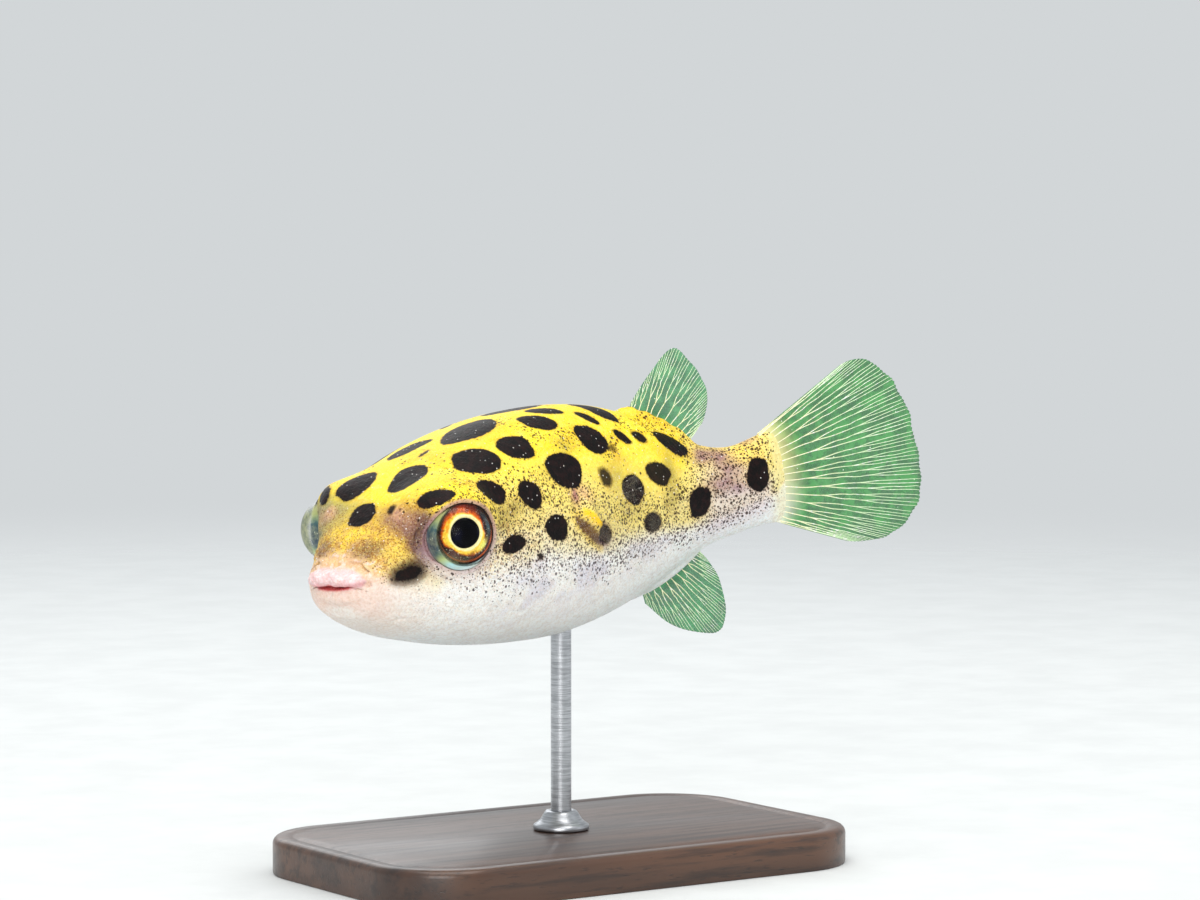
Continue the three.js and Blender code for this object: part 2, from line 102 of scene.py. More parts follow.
def place(s, y, z, at=None):
    """Body coordinates to the model's frame, both in mm. at is where a stiff piece leaves the bent spine."""
    s, y, z = np.broadcast_arrays(*(np.asarray(v, float) for v in (s, y, z)))
    b = s if at is None else np.full(s.shape, float(at))
    a, p = heading(b), math.radians(PITCH)
    gx = np.interp(b, SPINE_S, SPINE_X) - MOUTH[0] + np.cos(a) * (s - b) - np.sin(a) * y
    gy = np.interp(b, SPINE_S, SPINE_Y) - MOUTH[1] + np.sin(a) * (s - b) + np.cos(a) * y
    return np.stack([math.cos(p) * gx - math.sin(p) * z + OFFSET[0], gy + OFFSET[1],
                     math.sin(p) * gx + math.cos(p) * z + OFFSET[2]], -1)


def unplace(w):
    """The model's frame back to body coordinates."""
    p = math.radians(PITCH)
    q = np.asarray(w, float) - OFFSET
    gx = math.cos(p) * q[:, 0] + math.sin(p) * q[:, 2] + MOUTH[0]
    z = -math.sin(p) * q[:, 0] + math.cos(p) * q[:, 2]
    gy = q[:, 1] + MOUTH[1]
    s = gx - MOUTH[0]
    for _ in range(7):
        a = heading(s)
        s = s + (gx - np.interp(s, SPINE_S, SPINE_X)) * np.cos(a) + (gy - np.interp(s, SPINE_S, SPINE_Y)) * np.sin(a)
        s = np.clip(s, -5, 80)
    a = heading(s)
    y = -np.sin(a) * (gx - np.interp(s, SPINE_S, SPINE_X)) + np.cos(a) * (gy - np.interp(s, SPINE_S, SPINE_Y))
    return np.stack([s, y, z], 1)


# ------------------------------------------------------------------ small helpers
def linear(rgb):
    """sRGB 0-255 to linear 0-1."""
    c = np.asarray(rgb, float) / 255
    return np.where(c <= 0.04045, c / 12.92, ((c + 0.055) / 1.055) ** 2.4)


def rgba(r, g, b):
    return tuple(linear((r, g, b))) + (1.0,)


def smooth(a, b, x):
    t = np.clip((x - a) / (b - a), 0, 1)
    return t * t * (3 - 2 * t)


def join(a, b, k):
    """Smooth union of two distances."""
    h = np.clip(0.5 + 0.5 * (b - a) / k, 0, 1)
    return b * (1 - h) + a * h - k * h * (1 - h)


def meet(a, b, k):
    return -join(-a, -b, k)


def _hash(i, j, k, seed):
    h = (i.astype(np.uint32) * np.uint32(374761393) + j.astype(np.uint32) * np.uint32(668265263)
         + k.astype(np.uint32) * np.uint32(2147483647) + np.uint32((seed * 974634777) & 0xFFFFFFFF))
    h = (h ^ (h >> np.uint32(13))) * np.uint32(1274126177)
    h = h ^ (h >> np.uint32(16))
    return (h & np.uint32(0xFFFFFF)).astype(float) / 0xFFFFFF


def noise(p, scale, seed=0):
    """Smooth value noise from 0 to 1 at points p (N, 3); scale is in cells per mm."""
    q = np.asarray(p, float) * scale + 1000.0
    c = np.floor(q)
    f = q - c
    f = f * f * (3 - 2 * f)
    c = c.astype(np.int64)
    out = 0
    for dx in (0, 1):
        for dy in (0, 1):
            for dz in (0, 1):
                w = ((f[:, 0] if dx else 1 - f[:, 0]) * (f[:, 1] if dy else 1 - f[:, 1])
                     * (f[:, 2] if dz else 1 - f[:, 2]))
                out = out + w * _hash(c[:, 0] + dx, c[:, 1] + dy, c[:, 2] + dz, seed)
    return out


def fractal(p, scale, seed=0, octaves=3):
    total, weight = 0, 0
    for o in range(octaves):
        total = total + noise(p, scale * 2 ** o, seed + 17 * o) * 0.55 ** o
        weight += 0.55 ** o
    return total / weight


def new_object(name, points, faces, materials=(), smooth_faces=True, face_material=None):
    """A mesh object from points in mm, placed in the model's frame, in metres."""
    mesh = bpy.data.meshes.new(name)
    mesh.from_pydata((np.asarray(points) / 1000).tolist(), [], [tuple(int(i) for i in f) for f in faces])
    for m in materials:
        mesh.materials.append(m)
    mesh.polygons.foreach_set("use_smooth", [smooth_faces] * len(mesh.polygons))
    if face_material is not None:
        mesh.polygons.foreach_set("material_index", [int(v) for v in face_material])
    mesh.update()
    obj = bpy.data.objects.new(name, mesh)
    bpy.context.scene.collection.objects.link(obj)
    return obj


def point_number(obj, name, values):
    obj.data.attributes.new(name, "FLOAT", "POINT").data.foreach_set("value", np.asarray(values, np.float32).ravel())


def point_vector(obj, name, values):
    obj.data.attributes.new(name, "FLOAT_VECTOR", "POINT").data.foreach_set("vector", np.asarray(values, np.float32).ravel())


def point_colour(obj, name, srgb):
    """srgb: (N, 3), 0-255."""
    c = np.ones((len(srgb), 4), np.float32)
    c[:, :3] = linear(srgb)
    obj.data.attributes.new(name, "FLOAT_COLOR", "POINT").data.foreach_set("color", c.ravel())


class Nodes:
    """A few short ways to write a material's nodes."""

    def __init__(self, name):
        self.material = bpy.data.materials.new(name)
        self.material.use_nodes = True
        self.tree = self.material.node_tree
        self.tree.nodes.clear()
        self.out = self.tree.nodes.new("ShaderNodeOutputMaterial")

    def add(self, kind, **settings):
        n = self.tree.nodes.new("ShaderNode" + kind)
        for key, value in settings.items():
            setattr(n, key, value)
        return n

    def link(self, a, b):
        self.tree.links.new(a, b)

    def put(self, socket, value):
        if isinstance(value, bpy.types.NodeSocket):
            self.link(value, socket)
        elif isinstance(value, (tuple, list)):
            socket.default_value = value
        else:
            socket.default_value = float(value)

    def attribute(self, name, output="Fac"):
        n = self.add("Attribute", attribute_name=name)
        return n.outputs[output]

    def math(self, operation, a, b=0.0, c=None, clamp=False):
        n = self.add("Math", operation=operation, use_clamp=clamp)
        self.put(n.inputs[0], a)
        self.put(n.inputs[1], b)
        if c is not None:
            self.put(n.inputs[2], c)
        return n.outputs[0]

    def ramp(self, value, low, high, to_low=0.0, to_high=1.0):
        n = self.add("MapRange", interpolation_type="SMOOTHSTEP")
        self.put(n.inputs["Value"], value)
        n.inputs["From Min"].default_value, n.inputs["From Max"].default_value = low, high
        n.inputs["To Min"].default_value, n.inputs["To Max"].default_value = to_low, to_high
        return n.outputs[0]

    def mix(self, factor, a, b, blend="MIX"):
        n = self.add("Mix", data_type="RGBA", blend_type=blend)
        self.put(n.inputs["Factor"], factor)
        self.put(n.inputs[6], a)
        self.put(n.inputs[7], b)
        return n.outputs[2]

    def noise(self, vector, scale, detail=2.0, roughness=0.5, output=0):
        n = self.add("TexNoise")
        self.link(vector, n.inputs["Vector"])
        n.inputs["Scale"].default_value = scale
        n.inputs["Detail"].default_value = detail
        n.inputs["Roughness"].default_value = roughness
        return n.outputs[output]

    def cells(self, vector, scale, feature="F1"):
        n = self.add("TexVoronoi", feature=feature)
        self.link(vector, n.inputs["Vector"])
        n.inputs["Scale"].default_value = scale
        return n

    def bump(self, height, distance, strength=1.0, normal=None):
        n = self.add("Bump")
        self.put(n.inputs["Height"], height)
        n.inputs["Distance"].default_value = distance
        n.inputs["Strength"].default_value = strength
        if normal is not None:
            self.link(normal, n.inputs["Normal"])
        return n.outputs[0]

    def principled(self, **values):
        n = self.add("BsdfPrincipled")
        for key, value in values.items():
            self.put(n.inputs[key.replace("_", " ")], value)
        return n


# ------------------------------------------------------------------ the eye frames
def eye_frame(side):
    """Centre, axis out of the head, forward and up of one eye, in the model's frame (mm)."""
    z = EYE["z"] + (0.45 if side > 0 else 0.0)  # the right eye is carried a little higher
    c = place(EYE["s"], side * EYE["y"], z)
    f, u = math.radians(EYE["forward"]), math.radians(EYE["up"])
    tip = place(EYE["s"] - math.sin(f) * math.cos(u), side * (EYE["y"] + math.cos(f) * math.cos(u)), z + math.sin(u))
    axis = (tip - c) / np.linalg.norm(tip - c)
    ahead = place(EYE["s"] - 1, side * EYE["y"], z) - c
    ahead -= axis * (ahead @ axis)
    ahead /= np.linalg.norm(ahead)
    up = np.cross(ahead, axis) * -side
    if up[2] < 0:
        up = -up
    return c, axis, ahead, up


EYES = {-1: eye_frame(-1), 1: eye_frame(1)}

SOCKET = 3.61  # radius of the hollow each eye sits in


def lid_edge(turn, side=-1):
    """Height of the skin's edge against the eye, above the middle of the ball; turn 0 is ahead, 90 degrees is up."""
    return 0.20 + np.where(np.asarray(side) > 0, 0.90, 1.32) * smooth(0.10, 0.98, np.sin(turn)) - 0.10 * smooth(0.0, 1.0, np.cos(turn)) - 0.05 * smooth(0.2, 1.0, -np.sin(turn))


# ------------------------------------------------------------------ the body's surface, as a distance
LIPS = [
    dict(half=3.65, s=-0.20, bend=0.062, z=2.58, drop=0.035, deep=1.00, tall=0.88, lobes=0.14),
    dict(half=3.15, s=0.42, bend=0.055, z=0.62, drop=-0.02, deep=0.85, tall=0.80, lobes=0.03),
]


def section(s, y, z):
    """rho (1 on the surface) and the radius of the section towards each point."""
    mid = beam_at(s)
    up = z >= mid
    tall = np.where(up, top_at(s) - mid, mid - bottom_at(s))
    n = np.where(up, square_up(s), square_down(s))
    w = width_at(s)
    rho = ((np.abs(y) / w) ** n + (np.abs(z - mid) / tall) ** n + 1e-9) ** (1 / n)
    r = np.hypot(y, z - mid) + 1e-6
    return rho, r / rho


def plain_body(p):
    s, y, z = p[:, 0], p[:, 1], p[:, 2]
    rho, r = section(s, y, z)
    front = np.maximum(0, (SNOUT_ROUND - s) / SNOUT_ROUND)
    rear = np.maximum(0, (s - 57.6) / 2.5)
    end, long = front + rear, np.where(s > 30, 2.5, SNOUT_ROUND)
    full = np.sqrt(rho ** 2 + end ** 2)
    slope = np.sqrt((rho / r) ** 2 + (end / long) ** 2) / full
    return (full - 1) / slope


def blob(p, c, radii, shear=0.0):
    q = p - np.array(c)
    q = q.copy()
    q[:, 2] -= shear * q[:, 0]
    q = q / np.array(radii)
    k = np.linalg.norm(q, axis=1) + 1e-9
    g = np.linalg.norm(q / np.array(radii), axis=1) / k
    return (k - 1) / g


def capsule(p, a, b, radius):
    a, b = np.array(a, float), np.array(b, float)
    t = np.clip(((p - a) @ (b - a)) / ((b - a) @ (b - a)), 0, 1)
    return np.linalg.norm(p - a - t[:, None] * (b - a), axis=1) - radius


def polyline(p, points, radius):
    """A bent capsule; radius is one number for each point."""
    best = np.full(len(p), 1e9)
    for (a, b, ra, rb) in zip(points[:-1], points[1:], radius[:-1], radius[1:]):
        a, b = np.array(a, float), np.array(b, float)
        t = np.clip(((p - a) @ (b - a)) / ((b - a) @ (b - a)), 0, 1)
        best = np.minimum(best, np.linalg.norm(p - a - t[:, None] * (b - a), axis=1) - (ra + (rb - ra) * t))
    return best


def lip(p, l):
    y = p[:, 1]
    b = np.abs(y) / l["half"]
    f = np.maximum(1 - b * b, 1e-4) ** 0.325 * (1 + l["lobes"] * (np.cos(math.pi * (b - 0.42) / 0.62) - 0.3))  # a lobe on each side
    a = (p[:, 0] - l["s"] - l["bend"] * y * y) / (l["deep"] * f)
    c = (p[:, 2] - l["z"] + l["drop"] * y * y) / (l["tall"] * f)
    k = np.sqrt(a * a + c * c) + 1e-9
    d = (k - 1) * f * 0.85
    return np.where(b > 1, np.hypot((b - 1) * l["half"], np.maximum(d, 0)), d)


def flank(s, z):
    mid = beam_at(s)
    up = z >= mid
    n = np.where(up, square_up(s), square_down(s))
    tall = np.where(up, top_at(s) - mid, mid - bottom_at(s))
    return width_at(s) * np.maximum(0, 1 - np.abs((z - mid) / tall) ** n) ** (1 / n)


def near(p, c, radius):
    return np.nonzero(np.linalg.norm(p - np.array(c, float), axis=1) < radius)[0]


NOSE = np.array([6.15, 4.70, 7.45])  # the middle of each nostril organ
RIDGE = [(29.1, 10.05, 3.9), (30.0, 10.40, 3.3), (31.0, 10.35, 2.5), (31.8, 9.95, 1.8)]  # along the root of the pectoral fin


def body(p):
    """Distance to the skin, in mm, negative inside. p is (N, 3) in body coordinates."""
    d = plain_body(p)
    m = p.copy()
    m[:, 1] = np.abs(m[:, 1])  # most features are the same on both sides

    # the swelling that carries each eye, the ring of skin round it, and the dish it sits in
    i = near(m, (EYE["s"], EYE["y"], EYE["z"]), 9.5)
    if len(i):
        q = p[i]
        w = place(q[:, 0], q[:, 1], q[:, 2])
        h, ring, ball = np.empty(len(i)), np.empty(len(i)), np.empty(len(i))
        ahead, above = np.empty(len(i)), np.empty(len(i))
        for side in (-1, 1):
            k = (q[:, 1] < 0) if side < 0 else (q[:, 1] >= 0)
            c, axis, fwd, up = EYES[side]
            v = w[k] - c
            h[k] = v @ axis
            ahead[k], above[k] = v @ fwd, v @ up
            ring[k] = np.sqrt(np.maximum(0, (v * v).sum(1) - h[k] ** 2))
            ball[k] = np.linalg.norm(v, axis=1)
        e = d[i]
        turn = np.arctan2(above, ahead)
        edge = lid_edge(turn, np.sign(q[:, 1]))
        rim = np.sqrt(np.maximum(1.0, SOCKET ** 2 - edge ** 2))
        swell = blob(m[i], (BROW["s"], BROW["y"], BROW["z"]), (BROW["long"], BROW["wide"], BROW["tall"]))
        cut = 0.12 + (edge - 0.10) * (1 - smooth(3.5, 5.8, ring))
        swell = meet(swell, h - cut, 0.5)
        e = join(e, swell, 1.5)
        lid = 0.20 + 0.07 * smooth(0.1, 0.9, np.sin(turn))  # thicker skin over the top of the eye
        e = join(e, np.hypot(ring - rim - lid, h - edge + lid * 0.75) - lid, 0.35)
        # a shallow fold outside the ring, deepest below and ahead
        fold = 0.05 + 0.09 * smooth(-0.3, 0.9, np.cos(turn + 0.9))
        e = meet(e, -(np.hypot(ring - rim - 0.92, h + 0.05 + 0.35 * (ring - 4.5)) - fold), 0.22)
        dish = np.maximum(ball - SOCKET, -0.42 - h)
        e = meet(e, -dish, 0.06)
        d[i] = e

    # the side of the snout is a little hollow ahead of the eye
    i = near(m, (5.2, 8.0, 4.4), 4.5)
    if len(i):
        d[i] = meet(d[i], -blob(m[i], (4.9, 8.6, 4.3), (2.5, 2.3, 3.0)), 1.0)

    # nostril organs
    i = near(m, NOSE, 3.0)
    if len(i):
        e = join(d[i], blob(m[i], NOSE, (0.80, 0.66, 1.05), 0.4), 0.5)
        e = meet(e, -(np.linalg.norm(m[i] - (NOSE + np.array([-0.45, 0.05, 0.85])), axis=1) - 0.30), 0.18)
        d[i] = e

    # the lips, the slit between them, and the folds about them
    i = near(m, (1.2, 0, 1.8), 6.5)
    if len(i):
        q = p[i]
        mq = m[i]
        upper, lower = lip(q, LIPS[0]), lip(q, LIPS[1])
        wave = 0.26 * (noise(q * np.array([0.5, 1.0, 0.7]), 1.2, 5) - 0.5) + 0.24 * (noise(q, 2.0, 9) - 0.5)
        e = join(d[i], upper + wave, 0.42)
        e = join(e, lower + 0.6 * wave, 0.75)
        # fleshy folds over the upper lip
        for z_, r_ in ((4.15, 0.11), (5.05, 0.08)):
            over = [(z_ * 0.42 - 1.62, 0.0, z_ + 0.05), (z_ * 0.42 - 1.25, 1.5, z_), (z_ * 0.42 - 0.35, 2.9, z_ - 0.45), (z_ * 0.42 + 0.5, 3.8, z_ - 1.3)]
            e = meet(e, -polyline(mq, over, [r_, 1.3 * r_, 1.2 * r_, 0.4 * r_]), 0.38)
        warts = np.maximum(0, noise(q * np.array([1.0, 1.0, 1.0]), 1.7, 15) - 0.40) * smooth(3.2, 4.0, q[:, 2]) * (1 - smooth(5.4, 6.6, q[:, 2]))
        e = e - 0.62 * warts
        # the parting of the mouth, deeper in the middle and a little lower there
        part = [(-0.36, 0.0, 1.58), (-0.28, 0.5, 1.55), (-0.05, 1.2, 1.60), (0.55, 2.3, 1.58), (1.15, 3.1, 1.35), (1.7, 3.6, 1.1)]
        e = meet(e, -polyline(mq, part, [0.15, 0.15, 0.12, 0.07, 0.03, 0.01]), 0.16)
        deep = blob(q, (-0.15, 0.0, 1.55), (1.0, 1.45, 0.11))
        e = meet(e, -deep, 0.10)
        # the notch in the middle of the upper lip
        e = meet(e, -capsule(q, (-1.38, -0.45, 3.3), (-1.20, -0.40, 1.70), 0.27), 0.40)
        # soft dimples at each corner of the mouth
        e = meet(e, -(np.linalg.norm(mq - np.array([1.15, 3.95, 1.7]), axis=1) - 0.26), 0.6)
        d[i] = e

    # a short crease on the lower cheek
    i = near(m, (4.4, 5.0, -2.6), 3.0)
    if len(i):
        crease = [(s_, float(flank(np.array(s_), np.array(z_))), z_) for s_, z_ in ((3.5, -2.75), (4.1, -2.6), (4.8, -2.62))]
        d[i] = meet(d[i], -polyline(m[i], crease, [0.02, 0.17, 0.02]), 0.12)

    # the gill opening, just ahead of the pectoral fin, with a raised edge behind it
    i = near(m, (28.6, 9.9, 3.6), 5.5)
    if len(i):
        pts = [(27.35, 6.4), (27.9, 5.2), (28.35, 3.9), (28.6, 2.6), (28.65, 1.4)]
        line = [(s, float(flank(np.array(s), np.array(z))) + 0.02, z) for s, z in pts]
        lips = [(s + 0.55, float(flank(np.array(s + 0.55), np.array(z))) - 0.12, z) for s, z in pts]
        e = join(d[i], polyline(m[i], lips, [0.15, 0.32, 0.40, 0.36, 0.15]), 0.45)
        e = meet(e, -polyline(m[i], line, [0.05, 0.22, 0.30, 0.24, 0.05]), 0.22)
        d[i] = e

    # the fleshy stump of the pectoral fin
    i = near(m, (30.2, 9.8, 2.75), 5.0)
    if len(i):
        y0 = float(flank(np.array(30.2), np.array(2.75)))
        e = join(d[i], blob(m[i], (30.1, y0 - 0.10, 2.75), (1.45, 0.95, 2.25), -0.35), 0.7)
        e = join(e, polyline(m[i], RIDGE, [0.16, 0.32, 0.32, 0.16]), 0.30)
        d[i] = e

    # scalloped footing of the dorsal fin
    i = near(m, (45.6, 0, 10.2), 6.0)
    if len(i):
        q = m[i]
        e = blob(q, (45.3, 0, float(top_at(45.3)) + 0.15), (3.9, 0.95, 1.15), float(top_at(45.8) - top_at(44.8)))
        wave = 0.10 * np.cos(q[:, 0] * 3.6) * smooth(0.0, 0.8, q[:, 2] - (float(top_at(45.3)) - 0.6 * (q[:, 0] - 45.3)))
        d[i] = join(d[i], e + wave, 0.75)

    # footing of the anal fin
    i = near(m, (44.6, 0, -6.4), 6.0)
    if len(i):
        e = blob(m[i], (44.6, 0, float(bottom_at(44.6))), (3.7, 0.95, 0.85), float(bottom_at(45.1) - bottom_at(44.1)))
        d[i] = join(d[i], e, 0.8)
    # the vent, a small fold ahead of the anal fin
    i = near(m, (40.2, 0, -8.2), 2.5)
    if len(i):
        e = join(d[i], blob(m[i], (40.4, 0, float(bottom_at(40.4)) + 0.15), (0.9, 0.6, 0.5), 0.4), 0.5)
        d[i] = meet(e, -capsule(m[i], (39.9, 0, float(bottom_at(39.9)) - 0.25), (40.9, 0, float(bottom_at(40.9)) - 0.35), 0.12), 0.2)
    return d


def eye_block(side, points, starts, directions, index, rings, across):
    """Bends the grid of the skin round one eye, so that its lines run round the eye and the lid has a clean edge."""
    c, axis, fwd, up = EYES[side]
    lift = 0.3
    near_ = place(*(starts + directions * 8.0).T)
    far = place(*(starts + directions * 13.0).T)
    way = far - near_
    way /= np.linalg.norm(way, axis=1, keepdims=True)
    t = (lift - (near_ - c) @ axis) / np.where(np.abs(way @ axis) < 0.2, 0.2, way @ axis)
    hit = near_ + way * t[:, None] - c
    plane = np.stack([hit @ fwd, hit @ up], 1)
    # the grid point nearest the eye's axis
    size = np.hypot(plane[:, 0], plane[:, 1]) + 100 * ((way @ axis) < 0.3)
    i0, j0 = np.argwhere(index == np.argmin(size))[0]
    reach = 39
    di, dj = (v.ravel() for v in np.meshgrid(np.arange(-reach, reach + 1), np.arange(-reach, reach + 1), indexing="ij"))
    at = index[i0 + di, (j0 + dj) % across]
    ei = plane[index[i0 + 8, j0]] - plane[index[i0 - 8, j0]]
    ej = plane[index[i0, (j0 + 8) % across]] - plane[index[i0, (j0 - 8) % across]]
    ei /= np.linalg.norm(ei)
    ej = ej - ei * (ej @ ei)
    ej /= np.linalg.norm(ej)
    k = np.maximum(np.abs(di), np.abs(dj)).astype(float)
    safe_i, safe_j = np.where(di == 0, 1, di), np.where(dj == 0, 1, dj)
    angle = np.where(np.abs(di) >= np.abs(dj),
                     np.where(di > 0, math.pi / 4 * dj / np.abs(safe_i), math.pi - math.pi / 4 * dj / np.abs(safe_i)),
                     math.pi / 2 * np.sign(dj) - math.pi / 4 * di / safe_j)
    unit = np.cos(angle)[:, None] * ei + np.sin(angle)[:, None] * ej
    turn = np.arctan2(unit[:, 1], unit[:, 0])
    edge = lid_edge(turn, side)
    rim = np.sqrt(SOCKET ** 2 - edge ** 2)
    wall = 12
    beyond = [0.03, 0.075, 0.13, 0.19, 0.26, 0.34, 0.43, 0.53, 0.64, 0.76, 0.89, 1.03]
    steps = np.concatenate([beyond, 1.03 + 0.16 * np.arange(1, reach - wall - len(beyond) + 1)])
    radius = rim + np.interp(k, wall + 1 + np.arange(len(steps)), steps)
    away = 0.5 * (k + np.hypot(di, dj))
    askew = 1 - smooth(0.50, 0.78, way[at] @ axis)
    w = np.maximum(smooth(20, 40, away), askew)
    w2 = np.maximum(smooth(18, 40, away), askew)
    ab = plane[at] * w[:, None] + unit * radius[:, None] * (1 - w[:, None])
    d = axis * (1 - w2[:, None]) + way[at] * w2[:, None]
    d /= np.linalg.norm(d, axis=1, keepdims=True)
    q = c + np.outer(ab[:, 0], fwd) + np.outer(ab[:, 1], up) + lift * axis
    # from outside, in to the skin
    outer = k > wall
    go = np.nonzero(outer & (w < 1))[0]
    t = np.full(len(go), 4.5)
    prev = t.copy()
    alive = np.arange(len(go))
    for _ in range(110):
        v = body(unplace(q[go[alive]] + d[go[alive]] * t[alive, None]))
        more = v > 0
        alive, v = alive[more], v[more]
        if not len(alive):
            break
        prev[alive] = t[alive]
        t[alive] -= np.clip(v * 0.75, 0.02, 0.8)
        alive = alive[t[alive] > -7]
    inn, out = t.copy(), prev.copy()
    for _ in range(11):
        t = (inn + out) / 2
        v = body(unplace(q[go] + d[go] * t[:, None]))
        inn, out = np.where(v < 0, t, inn), np.where(v < 0, out, t)
    points[at[go]] = unplace(q[go] + d[go] * ((inn + out) / 2)[:, None])
    # the floor and the wall of the hollow, up to the edge of the lid
    inside = np.nonzero(~outer)[0]
    floor_r = np.interp(k[inside], [0, 7, 8], [0, 3.30, 3.52])
    floor_h = np.full(len(inside), -0.42)
    up_wall = np.clip((k[inside] - 8) / (wall - 8), 0, 1)
    wall_h = -0.30 + (edge[inside] - 0.04 + 0.30) * up_wall
    wall_r = np.sqrt(SOCKET ** 2 - wall_h ** 2)
    rr = np.where(k[inside] <= 8, floor_r, wall_r)
    hh = np.where(k[inside] <= 8, floor_h, wall_h)
    world = c + np.outer(unit[inside, 0] * rr, fwd) + np.outer(unit[inside, 1] * rr, up) + np.outer(hh, axis)
    points[at[inside]] = unplace(world)


def skin_shape():
    """Points of the skin (N, 3) in body coordinates, quads, and the ring and turn of each point."""
    turns = 2 * math.pi * (np.arange(4000) + 0.5) / 4000 - math.pi / 2  # the seam is under the belly
    weight = 1 + 0.9 * sum(np.exp(-((((turns - c + math.pi) % (2 * math.pi)) - math.pi) / 0.42) ** 2)
                           for c in (math.radians(17), math.pi - math.radians(17)))
    total = np.concatenate([[0], np.cumsum(weight)])
    across = 352
    theta = np.interp(np.arange(across) / across * total[-1], total, np.append(turns, turns[0] + 2 * math.pi) - math.pi / 4000)
    cy, cz = np.cos(theta), np.sin(theta)
    origin, lift = 14.5, 2.4

    # how the rings spread over the front, by the length of the profile along the side
    tau = np.linspace(math.pi / 2, 0, 1500)
    q = np.full(len(tau), 12.0)
    lo, hi = np.zeros(len(tau)), np.full(len(tau), 30.0)
    for _ in range(30):
        q = (lo + hi) / 2
        inside = plain_body(np.stack([origin - np.sin(tau) * q, -np.cos(tau) * q, np.full(len(tau), 1.6)], 1)) < 0
        lo, hi = np.where(inside, q, lo), np.where(inside, hi, q)
    px, py = origin - np.sin(tau) * q, -np.cos(tau) * q
    arc = np.concatenate([[0], np.cumsum(np.hypot(np.diff(px), np.diff(py)) * (1 + 0.5 * np.exp(-(py[1:] / 4.5) ** 2)))])
    front = 138
    taus = np.interp(np.linspace(0, arc[-1], front + 1)[1:], arc, tau)

    starts, directions = [], []
    for t in taus:
        starts.append(np.tile([origin, 0, lift], (across, 1)))
        directions.append(np.stack([np.full(across, -math.sin(t)), math.cos(t) * cy, math.cos(t) * cz], 1))
    middle = 112
    for k in range(1, middle + 1):
        u = k / middle
        s = origin + (57.4 - origin) * u
        b = smooth(14.5, 34, s)
        w, t = float(width_at(s)), float(top_at(s) - bottom_at(s)) / 2
        centre = lift * (1 - b) + float(top_at(s) + bottom_at(s)) / 2 * b
        dy, dz = cy * ((1 - b) + b * w), cz * ((1 - b) + b * t)
        n = np.hypot(dy, dz)
        starts.append(np.tile([s, 0, centre], (across, 1)))
        directions.append(np.stack([np.zeros(across), dy / n, dz / n], 1))
    rear = 16
    w, t = float(width_at(57.4)), float(top_at(57.4) - bottom_at(57.4)) / 2
    centre = float(top_at(57.4) + bottom_at(57.4)) / 2
    for k in range(1, rear + 1):
        b = math.radians(90) * k / (rear + 1)
        v = np.stack([np.full(across, 2.4 * math.sin(b)), w * math.cos(b) * cy, t * math.cos(b) * cz], 1)
        starts.append(np.tile([57.4, 0, centre], (across, 1)))
        directions.append(v / np.linalg.norm(v, axis=1, keepdims=True))
    # the two poles
    starts = np.concatenate([np.array([[origin, 0, lift]])] + starts + [np.array([[57.4, 0, centre]])])
    directions = np.concatenate([np.array([[-1.0, 0, 0]])] + directions + [np.array([[1.0, 0, 0]])])

    # the plain body first, then out or in to the real surface
    lo, hi = np.zeros(len(starts)), np.full(len(starts), 34.0)
    for _ in range(16):
        r = (lo + hi) / 2
        inside = plain_body(starts + directions * r[:, None]) < 0
        lo, hi = np.where(inside, r, lo), np.where(inside, hi, r)
    base = (lo + hi) / 2
    r = np.maximum(base - 2.6, base * 0.2)
    low, high = r.copy(), np.full(len(r), np.nan)
    going = np.arange(len(r))
    for _ in range(90):
        d = body(starts[going] + directions[going] * r[going, None])
        out = d >= 0
        high[going[out]] = r[going[out]]
        going, d = going[~out], d[~out]
        if not len(going):
            break
        low[going] = r[going]
        r[going] += np.clip(-d * 0.8, 0.05, 0.8)
    high = np.where(np.isnan(high), low + 0.05, high)
    for _ in range(11):
        r = (low + high) / 2
        d = body(starts + directions * r[:, None])
        low, high = np.where(d < 0, r, low), np.where(d < 0, high, r)
    r = (low + high) / 2
    points = starts + directions * r[:, None]

    rings = front + middle + rear
    index = 1 + np.arange(rings * across).reshape(rings, across)
    for side in (-1, 1):
        eye_block(side, points, starts, directions, index, rings, across)
    following = np.roll(index, -1, axis=1)
    faces = []
    for i in range(across):
        faces.append((0, index[0, i], following[0, i]))
    quads = np.stack([index[:-1], index[1:], following[1:], following[:-1]], -1).reshape(-1, 4)
    faces += [tuple(q) for q in quads]
    last = len(points) - 1
    for i in range(across):
        faces.append((index[-1, i], last, following[-1, i]))
    return points, faces, rings, across


points, faces, RINGS, ACROSS = skin_shape()
S, Y, Z = points[:, 0], points[:, 1], points[:, 2]
world_points = place(S, Y, Z)

